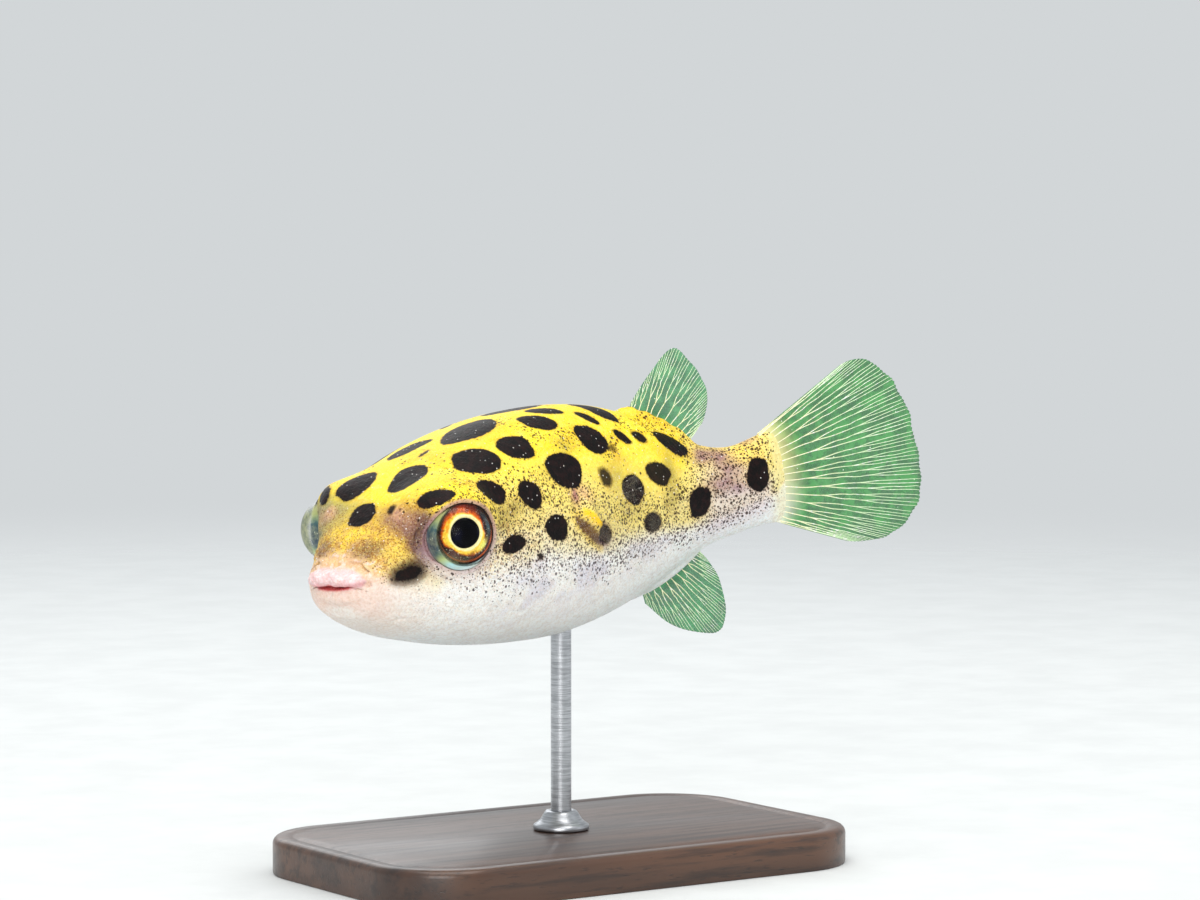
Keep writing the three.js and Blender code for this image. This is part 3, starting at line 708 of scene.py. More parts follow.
# ------------------------------------------------------------------ the markings
# each spot: s, turn round the body in degrees (90 back, 180 left side), half length, half height, tilt,
# how dark it is (1 black), how soft its edge is in mm
SPOTS = [
    (4.5, 175, 1.95, 1.08, 5, 0.90, 0.52), (5.7, 90, 1.62, 1.62, 3, 1, 0.05),
    (8.95, 137, 2.0, 0.95, -20, 1, 0.05), (9.3, 77, 2.47, 1.88, -14, 1, 0.05),
    (10.5, 96.5, 2.49, 2.03, 1, 1, 0.05), (15.5, 150.5, 2.15, 1.35, -22, 1, 0.05),
    (15.9, 83.5, 2.54, 1.15, -31, 1, 0.05), (16.6, 124.5, 2.88, 2.03, -20, 1, 0.05),
    (17.0, 178, 1.83, 0.94, 3, 1, 0.07), (20.8, 97, 3.76, 2.32, 3, 1, 0.05),
    (20.9, -176, 0.53, 0.36, -42, 0.8, 0.12), (21.2, 159, 1.83, 1.48, -33, 1, 0.05),
    (22.6, 129, 2.42, 1.68, -15, 1, 0.05), (24.3, 176, 1.95, 1.39, -15, 1, 0.05),
    (28.0, 151, 2.86, 2.03, -10, 1, 0.05), (28.4, 115, 2.34, 1.44, -24, 1, 0.05),
    (28.8, 88, 3.57, 1.35, -8, 1, 0.05), (30.9, 103.5, 2.19, 0.93, -21, 1, 0.05),
    (32.2, -177, 1.41, 1.0, -24, 0.62, 0.12), (34.2, 135, 2.30, 1.70, -33, 1, 0.05),
    (34.2, 158.5, 1.15, 0.91, -58, 0.72, 0.25), (35.4, 116.5, 1.54, 0.60, -41, 1, 0.05),
    (37.6, 103.5, 2.89, 1.26, -43, 1, 0.05), (38.2, 167, 1.84, 1.61, -12, 1, 0.07),
    (38.9, 133, 1.33, 0.62, -36, 0.95, 0.08), (40.5, -172, 1.51, 1.09, -12, 0.92, 0.14),
    (41.5, 130, 1.14, 0.69, -23, 0.9, 0.10), (42.6, 158, 2.00, 1.27, -13, 0.86, 0.08),
    (45.8, 124.5, 2.39, 1.23, -25, 1, 0.05), (47.8, -172.5, 1.77, 1.55, 51, 1, 0.06),
    (55.6, 170.5, 1.89, 1.52, 78, 1, 0.06),
    (14.9, 92.0, 0.78, 0.30, -10, 0.85, 0.10), (36.7, 142.0, 0.62, 0.42, -30, 0.55, 0.28),
    (6.4, 108, 0.55, 0.50, 20, 0.75, 0.15),
    # the right side, which mirrors the left loosely
    (4.4, 6, 1.85, 1.08, -4, 0.90, 0.52), (8.6, 50, 1.80, 0.85, 18, 1, 0.05),
    (15.2, 33, 1.85, 1.25, 22, 1, 0.05), (16.2, 58, 2.60, 1.90, 18, 1, 0.05),
    (17.6, 3, 1.75, 1.05, -5, 1, 0.07), (21.6, 22, 1.95, 1.40, 30, 1, 0.05),
    (22.2, 52, 2.30, 1.75, 12, 1, 0.05), (24.8, 3, 1.85, 1.30, 12, 1, 0.05),
    (27.5, 31, 2.75, 1.95, 14, 1, 0.05), (27.8, 63, 2.30, 1.45, 20, 1, 0.05),
    (32.4, -4, 1.35, 1.0, 20, 0.62, 0.12), (33.3, 77, 1.95, 0.95, 22, 1, 0.05),
    (33.6, 46, 2.25, 1.60, 30, 1, 0.05), (34.6, 21, 1.30, 0.95, 40, 0.85, 0.15),
    (38.6, 70, 2.20, 0.95, 36, 1, 0.05), (37.9, 9, 1.80, 1.55, 10, 1, 0.07),
    (39.0, 44, 1.45, 0.80, 34, 0.95, 0.08), (41.0, -9, 1.40, 1.05, 12, 0.92, 0.14),
    (42.9, 25, 1.85, 1.25, 14, 0.9, 0.08), (43.2, 62, 1.15, 0.70, 28, 0.9, 0.10),
    (46.4, 48, 2.15, 1.25, 24, 1, 0.05), (48.3, -6, 1.75, 1.45, -48, 1, 0.06),
    (55.8, 8, 1.80, 1.45, -78, 1, 0.06), (22.0, 78, 1.0, 0.55, 25, 0.9, 0.08),
]
rng = np.random.default_rng(20)


def surface(s, turn):
    """A point of the plain body at one turn of its section."""
    c, n = math.cos(math.radians(turn)), math.sin(math.radians(turn))
    mid = float(beam_at(s))
    up = n >= 0
    e = 2 / float(square_up(s) if up else square_down(s))
    tall = float(top_at(s)) - mid if up else mid - float(bottom_at(s))
    return np.array([s, float(width_at(s)) * math.copysign(abs(c) ** e, c), mid + tall * math.copysign(abs(n) ** e, n)])


spot_edge = np.full(len(points), 9.0)   # distance to the nearest spot's outline, negative inside
spot_dark = np.zeros(len(points))
spot_soft = np.full(len(points), 0.06)
for s0, turn0, long, tall, tilt, dark, soft in SPOTS:
    dark = 1 - (1 - dark) ** 2.2
    c = surface(s0, turn0)
    ds = surface(s0 + 0.2, turn0) - surface(s0 - 0.2, turn0)
    dt = surface(s0, turn0 + 1.0) - surface(s0, turn0 - 1.0)
    n = np.cross(ds, dt)
    n /= np.linalg.norm(n)
    if n @ (c - np.array([s0, 0, float(beam_at(s0))])) < 0:
        n = -n
    e1 = np.array([1.0, 0, 0]) - n * n[0]
    e1 /= np.linalg.norm(e1)
    e2 = np.cross(n, e1)
    shape = [(k, rng.uniform(0.02, 0.055) * (2.5 / k) , rng.uniform(0, 2 * math.pi)) for k in (3, 4, 5)]
    i = near(points, c, 1.35 * max(long, tall) + 1.6)
    v = points[i] - c
    a, b = v @ e1, v @ e2
    t = math.radians(tilt)
    x, y = (a * math.cos(t) + b * math.sin(t)) / long, (-a * math.sin(t) + b * math.cos(t)) / tall
    q = np.hypot(x, y) + 1e-6
    g = np.hypot(x / long, y / tall) / q
    angle = np.arctan2(y, x)
    outline = 1 + sum(amount * np.cos(k * angle + phase) for k, amount, phase in shape)
    d = (q - outline) / np.maximum(g, 1 / max(long, tall))
    d = np.where(np.abs(v @ n) > 3.2, 9.0, d)
    better = d < spot_edge[i]
    spot_edge[i] = np.where(better, d, spot_edge[i])
    spot_dark[i] = np.where(better, dark, spot_dark[i])
    spot_soft[i] = np.where(better, soft, spot_soft[i])

# phi: how far round from the back, 0 on the back to 180 on the belly
mid = beam_at(S)
turn = np.degrees(np.arctan2(Z - mid, Y))
phi = np.abs((turn - 90 + 180) % 360 - 180)
left = (Y < 0).astype(float)
P = np.stack([S, Y, Z], 1)


def along(xs, ys):
    return np.interp(S, xs, ys)


wander = 14 * (fractal(P, 0.16, 3) - 0.5) + 6 * (fractal(P, 0.6, 4) - 0.5)
yellow_to = along([0, 2, 4, 6, 9, 13, 17, 21, 25, 29, 33, 36, 40, 44, 47, 50, 54, 57, 59.5],
                  [16, 30, 58, 66, 64, 66, 68, 70, 72, 78, 88, 96, 102, 96, 80, 52, 42, 60, 120])
white_from = along([0, 2, 4, 6, 10, 14, 18, 22, 27, 31, 35, 39, 43, 47, 51, 55, 59.5],
                   [72, 78, 88, 92, 88, 90, 88, 89, 92, 98, 103, 108, 116, 128, 138, 142, 150])
yellow = 1 - smooth(-10, 12, phi + wander - yellow_to)
white = smooth(-9, 13, phi + 0.8 * wander - white_from)


def blend(a, b, f):
    f = np.asarray(f)[:, None]
    return a * (1 - f) + np.asarray(b, float) * f


def patch(s, turn0, a, b, tilt=0.0):
    """A soft oval, 1 in its middle."""
    c = surface(s, turn0)
    v = points - c
    t = math.radians(tilt)
    x = v[:, 0] * math.cos(t) + v[:, 2] * math.sin(t)
    z = np.hypot(-v[:, 0] * math.sin(t) + v[:, 2] * math.cos(t), 0.55 * v[:, 1])
    return np.exp(-((x / a) ** 2 + (z / b) ** 2))


def both(s, turn0, a, b, tilt=0.0):
    mirrored = 180 - turn0
    return np.maximum(patch(s, turn0, a, b, tilt), patch(s, mirrored, a, b, tilt))


n1, n2, n3 = fractal(P, 0.35, 21), fractal(P, 1.1, 22), fractal(P, 2.4, 23)
tone = np.tile(np.array([238.0, 218, 142]), (len(points), 1))                       # flank between back and belly
tone = blend(tone, (248, 234, 190), smooth(0.40, 0.75, n1))
back = blend(np.tile(np.array([255.0, 226, 44]), (len(points), 1)), (250, 205, 40), smooth(0.4, 0.75, n1))
back = blend(back, (255, 238, 96), 0.8 * smooth(0.52, 0.8, n2))
back = blend(back, (250, 226, 118), 0.85 * smooth(-38, -8, phi + 0.6 * wander - yellow_to) * smooth(10, 17, S))
tone = blend(tone, back, yellow)
tone = blend(tone, (238, 220, 134), 0.50 * smooth(24, 30, S) * smooth(34, 62, phi + wander) * (1 - white))
# the belly is a little darker and cooler towards the underside: painted shade with a cool cast
belly = blend(np.tile(np.array([247.0, 246, 242]), (len(points), 1)), (236, 242, 242), smooth(118, 165, phi))
belly = blend(belly, (226, 224, 222), 0.6 * smooth(0.45, 0.8, n2))
belly = blend(belly, (208, 204, 222), 0.55 * smooth(0.42, 0.75, n1) * (1 - smooth(118, 145, phi)) * smooth(10, 18, S))
tone = blend(tone, belly, white)
# the tail's stalk: tan with purplish patches, yellowish where the fin grows out
stalk = smooth(46, 50.5, S) * (1 - 0.85 * smooth(56.0, 58.6, S))
tone = blend(tone, (240, 220, 172), 0.80 * stalk * (1 - smooth(70, 120, phi)))
tone = blend(tone, (252, 222, 96), 0.60 * stalk * (1 - smooth(30, 62, phi + wander)))
tone = blend(tone, (220, 208, 218), 0.70 * stalk * smooth(78, 108, phi) * (1 - smooth(140, 172, phi)))
tone = blend(tone, (255, 214, 84), 0.65 * both(54.4, 118, 1.3, 1.0))
tone = blend(tone, (240, 228, 160), 0.90 * smooth(56.4, 58.4, S) * (1 - 0.55 * smooth(100, 150, phi)))
for s0, t0, a, b, amount in [(49.6, 128, 1.9, 0.9, 0.85), (51.6, 131, 1.2, 1.0, 0.7), (52.4, 150, 1.7, 0.9, 0.55), (51.2, 172, 2.4, 1.0, 0.65),
                             (53.0, -178, 1.4, 0.7, 0.5), (55.4, 96, 1.0, 0.5, 0.5)]:
    tone = blend(tone, (128, 88, 116), amount * both(s0, t0, a, b) * (0.4 + 0.9 * n2).clip(0, 1))
# snout: orange over the mouth, brown-purple between nostril and eye
snout = (1 - smooth(2.5, 8.5, S)) * (1 - smooth(62, 96, phi))
tone = blend(tone, (242, 196, 70), 0.60 * snout)
tone = blend(tone, (196, 140, 62), 0.55 * snout * smooth(0.44, 0.66, n2))
tone = blend(tone, (238, 206, 150), 0.45 * snout * smooth(0.5, 0.7, n3))
tone = blend(tone, (232, 196, 166), 0.80 * (1 - smooth(1.1, 2.7, S)) * (1 - smooth(80, 115, phi)))
# above the lip, laid by noise: brown flecks as painted shade between the warts, and pale pink-white flecks as the
# warts' own colour with painted highlight
tone = blend(tone, (206, 160, 128), 0.50 * (1 - smooth(1.4, 3.4, S)) * (1 - smooth(70, 110, phi)) * smooth(0.45, 0.65, n3))
tone = blend(tone, (248, 222, 206), 0.80 * (1 - smooth(1.7, 3.1, S)) * (1 - smooth(70, 110, phi)) * smooth(0.53, 0.62, n3))
near_left, near_right = (Y < 0).astype(float), (Y >= 0).astype(float)
purple = np.minimum(1, 2.6 * patch(6.4, 151, 1.2, 2.5, 14)) * near_left * (1 - 0.75 * smooth(7.3, 8.6, Z))
tone = blend(tone, (118, 80, 80), purple * near_left * (0.72 + 0.7 * (n2 - 0.3)).clip(0, 0.92))
tone = blend(tone, (84, 56, 56), np.minimum(0.95, 1.5 * patch(6.8, 157, 0.8, 2.4, 8)) * near_left * (0.5 + 0.9 * n3).clip(0, 1))
tone = blend(tone, (142, 112, 122), 0.90 * patch(7.0, 170, 1.0, 1.6, 8) * near_left)
far_face = np.minimum(1, 1.5 * np.maximum(patch(6.2, 38, 1.6, 3.0, -12), patch(7.8, 40, 1.3, 1.6, 0))) * near_right
tone = blend(tone, (128, 132, 104), 0.92 * far_face * (0.75 + 0.8 * (n2 - 0.3)).clip(0, 1))
tone = blend(tone, (62, 86, 96), 0.75 * patch(5.4, 34, 0.7, 0.8, 0) * near_right)
tone = blend(tone, (126, 112, 120), 0.60 * patch(5.0, 18, 1.2, 1.3, 0) * near_right)
tone = blend(tone, (84, 58, 42), 0.95 * both(2.9, 122, 1.15, 0.75, 10) * (0.5 + 1.2 * (n3 - 0.2)).clip(0, 1))
tone = blend(tone, (120, 88, 62), 0.55 * both(2.3, 112, 1.0, 0.9, 0) * (0.5 + 0.9 * n3).clip(0, 1))
tone = blend(tone, (236, 204, 78), 0.75 * both(3.9, 152, 1.0, 1.1, 0))
tone = blend(tone, (202, 152, 118), 0.65 * both(6.0, 128, 0.8, 1.2, 0))
tone = blend(tone, (104, 104, 118), 0.55 * both(4.5, 175, 2.1, 1.2, 5))
# face below the eye: pale, a little pink towards the mouth
face = (1 - smooth(3, 9, S)) * smooth(70, 95, phi)
tone = blend(tone, (234, 222, 212), 0.75 * face)
tone = blend(tone, (238, 206, 192), 0.55 * (1 - smooth(0.8, 4.2, S)) * smooth(60, 90, phi) * (1 - smooth(120, 160, phi)))
# smudges on the flank
for s0, t0, a, b, tilt, amount in [(17.5, 164, 2.8, 1.0, 8, 0.60), (16.0, 170, 1.4, 0.8, 0, 0.4), (25.0, 150, 1.3, 1.0, 0, 0.30),
                                   (29.6, 138, 1.5, 0.9, 20, 0.45), (36.0, 158, 2.0, 2.0, 0, 0.40), (37.5, 176, 2.6, 1.4, 0, 0.40),
                                   (44.4, 158, 1.0, 2.4, 0, 0.60), (43.6, 178, 1.2, 1.2, 0, 0.45), (46.0, 136, 1.5, 0.7, -30, 0.45)]:
    tone = blend(tone, (136, 118, 52), amount * both(s0, t0, a, b, tilt) * (0.35 + 1.0 * n2).clip(0, 1))
# the rose tint at the gill opening, and the yellow ridge of the pectoral stump
tone = blend(tone, (158, 92, 106), 0.90 * both(28.4, 164, 0.55, 0.9, 0))
tone = blend(tone, (226, 176, 142), 0.65 * both(30.0, 164, 1.4, 0.9, -30))
m = np.stack([S, np.abs(Y), Z], 1)
y0 = float(flank(np.array(30.2), np.array(2.75)))
ridge = polyline(m, RIDGE, [0.30, 0.36, 0.34, 0.20])
wedge = blob(m, (29.5, y0 + 0.05, 1.75), (1.85, 1.8, 0.80), -0.85)
tone = blend(tone, (250, 214, 92), 0.60 * (1 - smooth(0.3, 0.9, wedge)))
tone = blend(tone, (78, 48, 28), 0.95 * (1 - smooth(-0.05, 0.20, wedge)) * (0.75 + 0.7 * (n3 - 0.3)).clip(0, 1))
tone = blend(tone, (255, 206, 30), 0.97 * (1 - smooth(0.02, 0.22, ridge)))
tone = blend(tone, (108, 86, 100), 0.94 * np.minimum(1, 2.2 * both(32.1, -176.5, 0.95, 0.95)))
# pale purple skin round the eyes
lid = np.zeros(len(points))
under = np.zeros(len(points))
for side in (-1, 1):
    c, axis, fwd, up = EYES[side]
    v = world_points - c
    h = v @ axis
    ring = np.sqrt(np.maximum(0, (v * v).sum(1) - h * h))
    k = (np.sign(Y) == side) & (h > -2.5)
    a = np.arctan2(v @ up, v @ fwd)
    past = ring[k] - np.sqrt(SOCKET ** 2 - lid_edge(a[k], side) ** 2)
    lid[k] = np.maximum(lid[k], (1 - smooth(0.22, 0.62, past)))
    under[k] = np.maximum(under[k], (1 - smooth(0.7, 1.8, past)) * smooth(-0.1, 0.9, -np.sin(a[k])))
tone = blend(tone, (234, 224, 222), 0.75 * under)
tone = blend(tone, (186, 146, 152), 0.80 * lid * (1 - 0.6 * under))
# lips
upper_d, lower_d = lip(P, LIPS[0]), lip(P, LIPS[1])
lips_mask = (1 - smooth(0.05, 0.45, upper_d))
tone = blend(tone, (243, 204, 207), 0.95 * lips_mask)
# pale near-white flecks over the lips, laid by noise: painted highlights of wet skin
tone = blend(tone, (253, 234, 235), 0.66 * lips_mask * smooth(0.5, 0.62, n3))
tone = blend(tone, (226, 162, 166), 0.7 * lips_mask * smooth(2.35, 1.80, Z))
tone = blend(tone, (243, 214, 200), 0.7 * (1 - smooth(0.1, 0.9, lower_d)) * (1 - lips_mask))
slit = blob(P, (0.1, 0.0, 1.54), (1.5, 1.9, 0.20))
tone = blend(tone, (196, 66, 70), 0.92 * (1 - smooth(-0.05, 0.24, slit)))
nose = np.linalg.norm((m - NOSE) / np.array([1.0, 1.0, 1.35]), axis=1)
tone = blend(tone, (214, 164, 146), 0.75 * (1 - smooth(0.5, 1.15, nose)))
# dark in the pit of each nostril organ: painted shade
tone = blend(tone, (70, 44, 44), 0.8 * (1 - smooth(0.12, 0.34, np.linalg.norm(m - (NOSE + np.array([-0.45, 0.05, 0.80])), axis=1))))
# the dorsal footing is deeper yellow, with a dark line of specks; the anal footing is white
tone = blend(tone, (246, 206, 60), 0.6 * np.exp(-((S - 45.6) / 3.6) ** 2) * (1 - smooth(6, 26, phi)))

# where the small dark dots lie, how many there are and how dark
dots = smooth(-34, -5, phi + 0.9 * wander - yellow_to) * (1 - smooth(2, 34, phi + 0.6 * wander - white_from))
dots = dots * along([0, 6, 9, 13, 40, 46, 60], [0.0, 0.10, 0.7, 1, 1, 1, 0.9])
dots = np.maximum(dots, 0.02 + 0.12 * smooth(0.55, 0.8, n1) * yellow)
for s0, t0, a, b in [(26.5, 124, 1.8, 0.9), (30.6, 132, 2.2, 1.3), (36.6, 142, 1.4, 1.2), (43.5, 108, 2.0, 1.2), (24.5, 104, 1.2, 0.8),
                     (45.8, 92, 3.6, 0.9), (39.8, 118, 1.4, 0.9), (12.8, 118, 1.0, 0.8)]:
    dots = np.maximum(dots, 0.75 * both(s0, t0, a, b))
dots = np.maximum(dots, 0.9 * smooth(45, 49, S) * (1 - smooth(112, 160, phi)))
freckles = 0.85 * (1 - smooth(4.5, 7.5, S)) * smooth(1.0, 2.4, S) * (1 - smooth(68, 92, phi))
freckles = np.maximum(freckles, 0.6 * (1 - smooth(8, 12, S)) * smooth(1.4, 3.0, S) * smooth(24, 48, phi + wander) * (1 - smooth(72, 100, phi)))
freckles = np.maximum(freckles, 0.95 * both(2.9, 122, 1.5, 1.2, 10))
freckles = np.maximum(freckles, 0.8 * both(4.2, 158, 1.6, 1.6, 0))
freckles = np.maximum(freckles, 0.35 * smooth(-40, 0, phi + wander - yellow_to) * (1 - smooth(0, 20, phi - white_from)) * smooth(8, 12, S))
dots = dots * (1 - lips_mask) * (1 - 0.85 * lid) * smooth(0.0, 0.4, np.minimum(ridge, wedge)) * (1 - smooth(0.35, 0.0, S))
low = along([0, 42, 47, 60], [0, 0, 26, 26])
dots = dots * (1 - 0.75 * (1 - smooth(13, 19, S)) * smooth(-8, 10, phi - white_from))
dots = dots * smooth(0, 28, 150 + low - phi) * (1 - 0.9 * smooth(120 + low, 140 + low, phi))
mottle = (1 - smooth(5.0, 9.0, S)) * smooth(1.2, 2.7, S) * (1 - smooth(70, 92, phi)) * (0.45 + 0.55 * smooth(10, 40, phi + 14 * (1 - smooth(3, 5, S))))
mottle = np.maximum(mottle, 0.75 * smooth(-16, 6, phi + wander - yellow_to) * (1 - smooth(0, 20, phi - white_from)) * smooth(9, 13, S) * (1 - smooth(17, 24, S)))
mottle = mottle * (1 - lips_mask) * (1 - lid) * (1 - 0.8 * far_face) * (1 - 0.6 * purple)
dots = dots * (1 - smooth(57.0, 58.6, S))
stipple = smooth(-16, 6, phi - white_from) * (1 - smooth(20, 62, phi - white_from)) * smooth(2.5, 6, S)
grey = white * (1 - 0.4 * stalk)      # dots on white are greyer
gloss = np.clip(0.30 + 0.5 * lips_mask + 0.25 * lid, 0, 1)
# painted glints: how much near-white glint is painted into the skin, most on the yellow back, on the lips and ahead of
# the eye
glint_paint_amount = (0.35 + 0.65 * yellow) * (1 - smooth(85, 110, phi))
glint_paint_amount = np.maximum(glint_paint_amount, 1.6 * both(7.2, 135, 1.4, 3.2, 10))
glint_paint_amount = np.maximum(glint_paint_amount, 0.8 * lips_mask)
flesh = np.clip(0.25 + 0.6 * lips_mask + 0.25 * white + 0.2 * face, 0, 1)

# ------------------------------------------------------------------ the skin's material
def skin_material():
    t = Nodes("pufferfish_skin")
    body_at = t.attribute("body_mm", "Vector")
    tone = t.attribute("tone", "Color")
    edge, dark, soft = t.attribute("spot_edge"), t.attribute("spot_dark"), t.attribute("spot_soft")
    dots, stipple, grey, freckles = t.attribute("dots"), t.attribute("stipple"), t.attribute("grey"), t.attribute("freckles")
    mottle = t.attribute("mottle")
    painted_sparkle, gloss, flesh = t.attribute("painted_sparkle"), t.attribute("gloss"), t.attribute("flesh")

    # fine mottling of the ground colour
    grain = t.noise(body_at, 3.2, 4, 0.6)
    ground = t.mix(t.ramp(grain, 0.40, 0.66, 0.0, 0.30), tone, t.mix(1.0, tone, rgba(214, 178, 140), "MULTIPLY"))
    fine = t.noise(body_at, 9.0, 3, 0.65)
    ground = t.mix(t.ramp(fine, 0.52, 0.72, 0.0, 0.35), ground, t.mix(1.0, ground, rgba(255, 250, 236), "SCREEN"))

    # stronger brown and honey mottling over the snout and behind the eye
    umber = t.math("MULTIPLY", t.ramp(t.noise(body_at, 2.6, 5, 0.78), 0.50, 0.58), mottle)
    ground = t.mix(t.math("MULTIPLY", umber, 0.70), ground, rgba(158, 98, 42))
    honey = t.math("MULTIPLY", t.ramp(t.noise(body_at, 4.1, 4, 0.75), 0.54, 0.62), mottle)
    ground = t.mix(t.math("MULTIPLY", honey, 0.66), ground, rgba(254, 226, 128))

    # small dots, in two sizes, each cell with its own chance of one
    warp = t.add("VectorMath", operation="MULTIPLY_ADD")
    t.link(t.noise(body_at, 1.7, 2, 0.5, output=1), warp.inputs[0])
    warp.inputs[1].default_value = (0.30, 0.30, 0.30)
    t.link(body_at, warp.inputs[2])
    ink = None
    for scale, share, low, high in ((2.6, 1.55, 0.38, 0.25), (1.6, 0.40, 0.28, 0.19), (4.2, 1.15, 0.35, 0.22)):
        cells = t.cells(warp.outputs[0], scale)
        chance = t.add("SeparateColor")
        t.link(cells.outputs["Color"], chance.inputs[0])
        there = t.ramp(t.math("SUBTRACT", t.math("MULTIPLY", dots, share), chance.outputs[0]), -0.02, 0.06)
        size = t.math("MULTIPLY", t.math("ADD", 0.7, t.math("MULTIPLY", chance.outputs[1], 0.6)), cells.outputs["Distance"])
        spot = t.math("MULTIPLY", t.ramp(size, high, low, 1.0, 0.0), there)
        ink = spot if ink is None else t.math("MAXIMUM", ink, spot)
    small = t.cells(warp.outputs[0], 4.3)
    odds = t.add("SeparateColor")
    t.link(small.outputs["Color"], odds.inputs[0])
    freckle = t.math("MULTIPLY", t.ramp(small.outputs["Distance"], 0.25, 0.40, 1.0, 0.0), t.ramp(t.math("SUBTRACT", freckles, odds.outputs[0]), -0.02, 0.05))
    ground = t.mix(t.math("MULTIPLY", freckle, 0.74), ground, rgba(108, 62, 32))
    tiny = t.cells(body_at, 5.0)
    tiny_on = t.math("MULTIPLY", t.ramp(tiny.outputs["Distance"], 0.20, 0.38, 1.0, 0.0), stipple)
    ground = t.mix(t.math("MULTIPLY", tiny_on, 0.34), ground, rgba(120, 116, 122))
    dot_colour = t.mix(grey, rgba(48, 25, 14), rgba(66, 50, 52))
    ground = t.mix(t.math("MULTIPLY", ink, 0.93), ground, dot_colour)

    # the large spots: a fringed outline, near black with a brown bloom
    fringe = t.math("MULTIPLY", t.math("SUBTRACT", t.noise(body_at, 4.6, 4, 0.75), 0.5), 0.60)
    ragged = t.math("MULTIPLY", t.math("SUBTRACT", t.noise(body_at, 1.6, 2, 0.5), 0.5), 0.32)
    d = t.math("ADD", edge, t.math("ADD", fringe, ragged))
    half = t.math("MULTIPLY", soft, 1.0)
    inside = t.math("DIVIDE", t.math("SUBTRACT", half, d), t.math("MULTIPLY", half, 2.0), clamp=True)
    bloom = t.ramp(t.noise(body_at, 1.3, 4, 0.65), 0.40, 0.68)
    black = t.mix(bloom, rgba(6, 3, 4), rgba(34, 15, 15))
    black = t.mix(t.ramp(fine, 0.5, 0.75, 0.0, 0.20), black, rgba(70, 44, 42))
    colour = t.mix(t.math("MULTIPLY", inside, dark), ground, black)
    # a thin darker halo where the spot's pigment thins out
    halo = t.math("MULTIPLY", t.ramp(d, 0.0, 0.32, 1.0, 0.0), t.math("MULTIPLY", 0.30, dark))
    colour = t.mix(halo, colour, t.mix(1.0, colour, rgba(150, 96, 50), "MULTIPLY"))

    # painted glints: near-white specks painted into the colour where the wet tips of the tiny prickles would catch the
    # light
    tips = t.cells(body_at, 1.9)
    pick = t.add("SeparateColor")
    t.link(tips.outputs["Color"], pick.inputs[0])
    painted_glint = t.math("MULTIPLY", t.ramp(tips.outputs["Distance"], 0.09, 0.17, 1.0, 0.0),
                 t.ramp(t.math("SUBTRACT", t.math("MULTIPLY", painted_sparkle, 0.40), pick.outputs[0]), 0.0, 0.03))
    colour = t.mix(t.math("MULTIPLY", painted_glint, 0.85), colour, rgba(250, 246, 240))

    # relief: prickles, pores and faint wrinkles
    prickle = t.ramp(t.cells(body_at, 2.6).outputs["Distance"], 0.0, 0.5, 1.0, 0.0)
    height = t.math("ADD", t.math("MULTIPLY", prickle, 0.6), t.math("MULTIPLY", fine, 0.9))
    height = t.math("ADD", height, t.math("MULTIPLY", painted_glint, 1.2))
    normal = t.bump(height, 0.00006, 0.55)
    normal = t.bump(t.noise(body_at, 0.9, 4, 0.6), 0.00035, 0.35, normal)
    normal = t.bump(t.math("MULTIPLY", t.noise(body_at, 2.0, 4, 0.65), flesh), 0.0007, 0.45, normal)

    rough = t.math("SUBTRACT", 0.56, t.math("MULTIPLY", gloss, 0.22))
    rough = t.math("ADD", rough, t.math("MULTIPLY", t.math("SUBTRACT", grain, 0.5), 0.18))
    rough = t.math("SUBTRACT", rough, t.math("MULTIPLY", painted_glint, 0.2))
    p = t.principled(Base_Color=colour, Roughness=rough, Normal=normal, IOR=1.38)
    p.inputs["Specular IOR Level"].default_value = 0.18
    p.inputs["Coat Weight"].default_value = 0.06
    p.inputs["Coat Roughness"].default_value = 0.22
    p.inputs["Coat IOR"].default_value = 1.36
    p.inputs["Subsurface Weight"].default_value = 0.07
    p.inputs["Subsurface Radius"].default_value = (1.0, 0.45, 0.30)
    p.inputs["Subsurface Scale"].default_value = 0.0009
    t.link(p.outputs[0], t.out.inputs[0])
    return t.material


flipped = [tuple(reversed(f)) for f in faces]
skin = new_object("pufferfish_skin", world_points, flipped, [skin_material()])
point_vector(skin, "body_mm", P)
point_colour(skin, "tone", np.clip(tone, 0, 255))
for name, values in (("spot_edge", spot_edge), ("spot_dark", spot_dark), ("spot_soft", spot_soft), ("dots", dots), ("stipple", stipple),
                     ("grey", grey), ("painted_sparkle", glint_paint_amount), ("gloss", gloss), ("flesh", flesh), ("freckles", freckles), ("mottle", mottle)):
    point_number(skin, name, values)

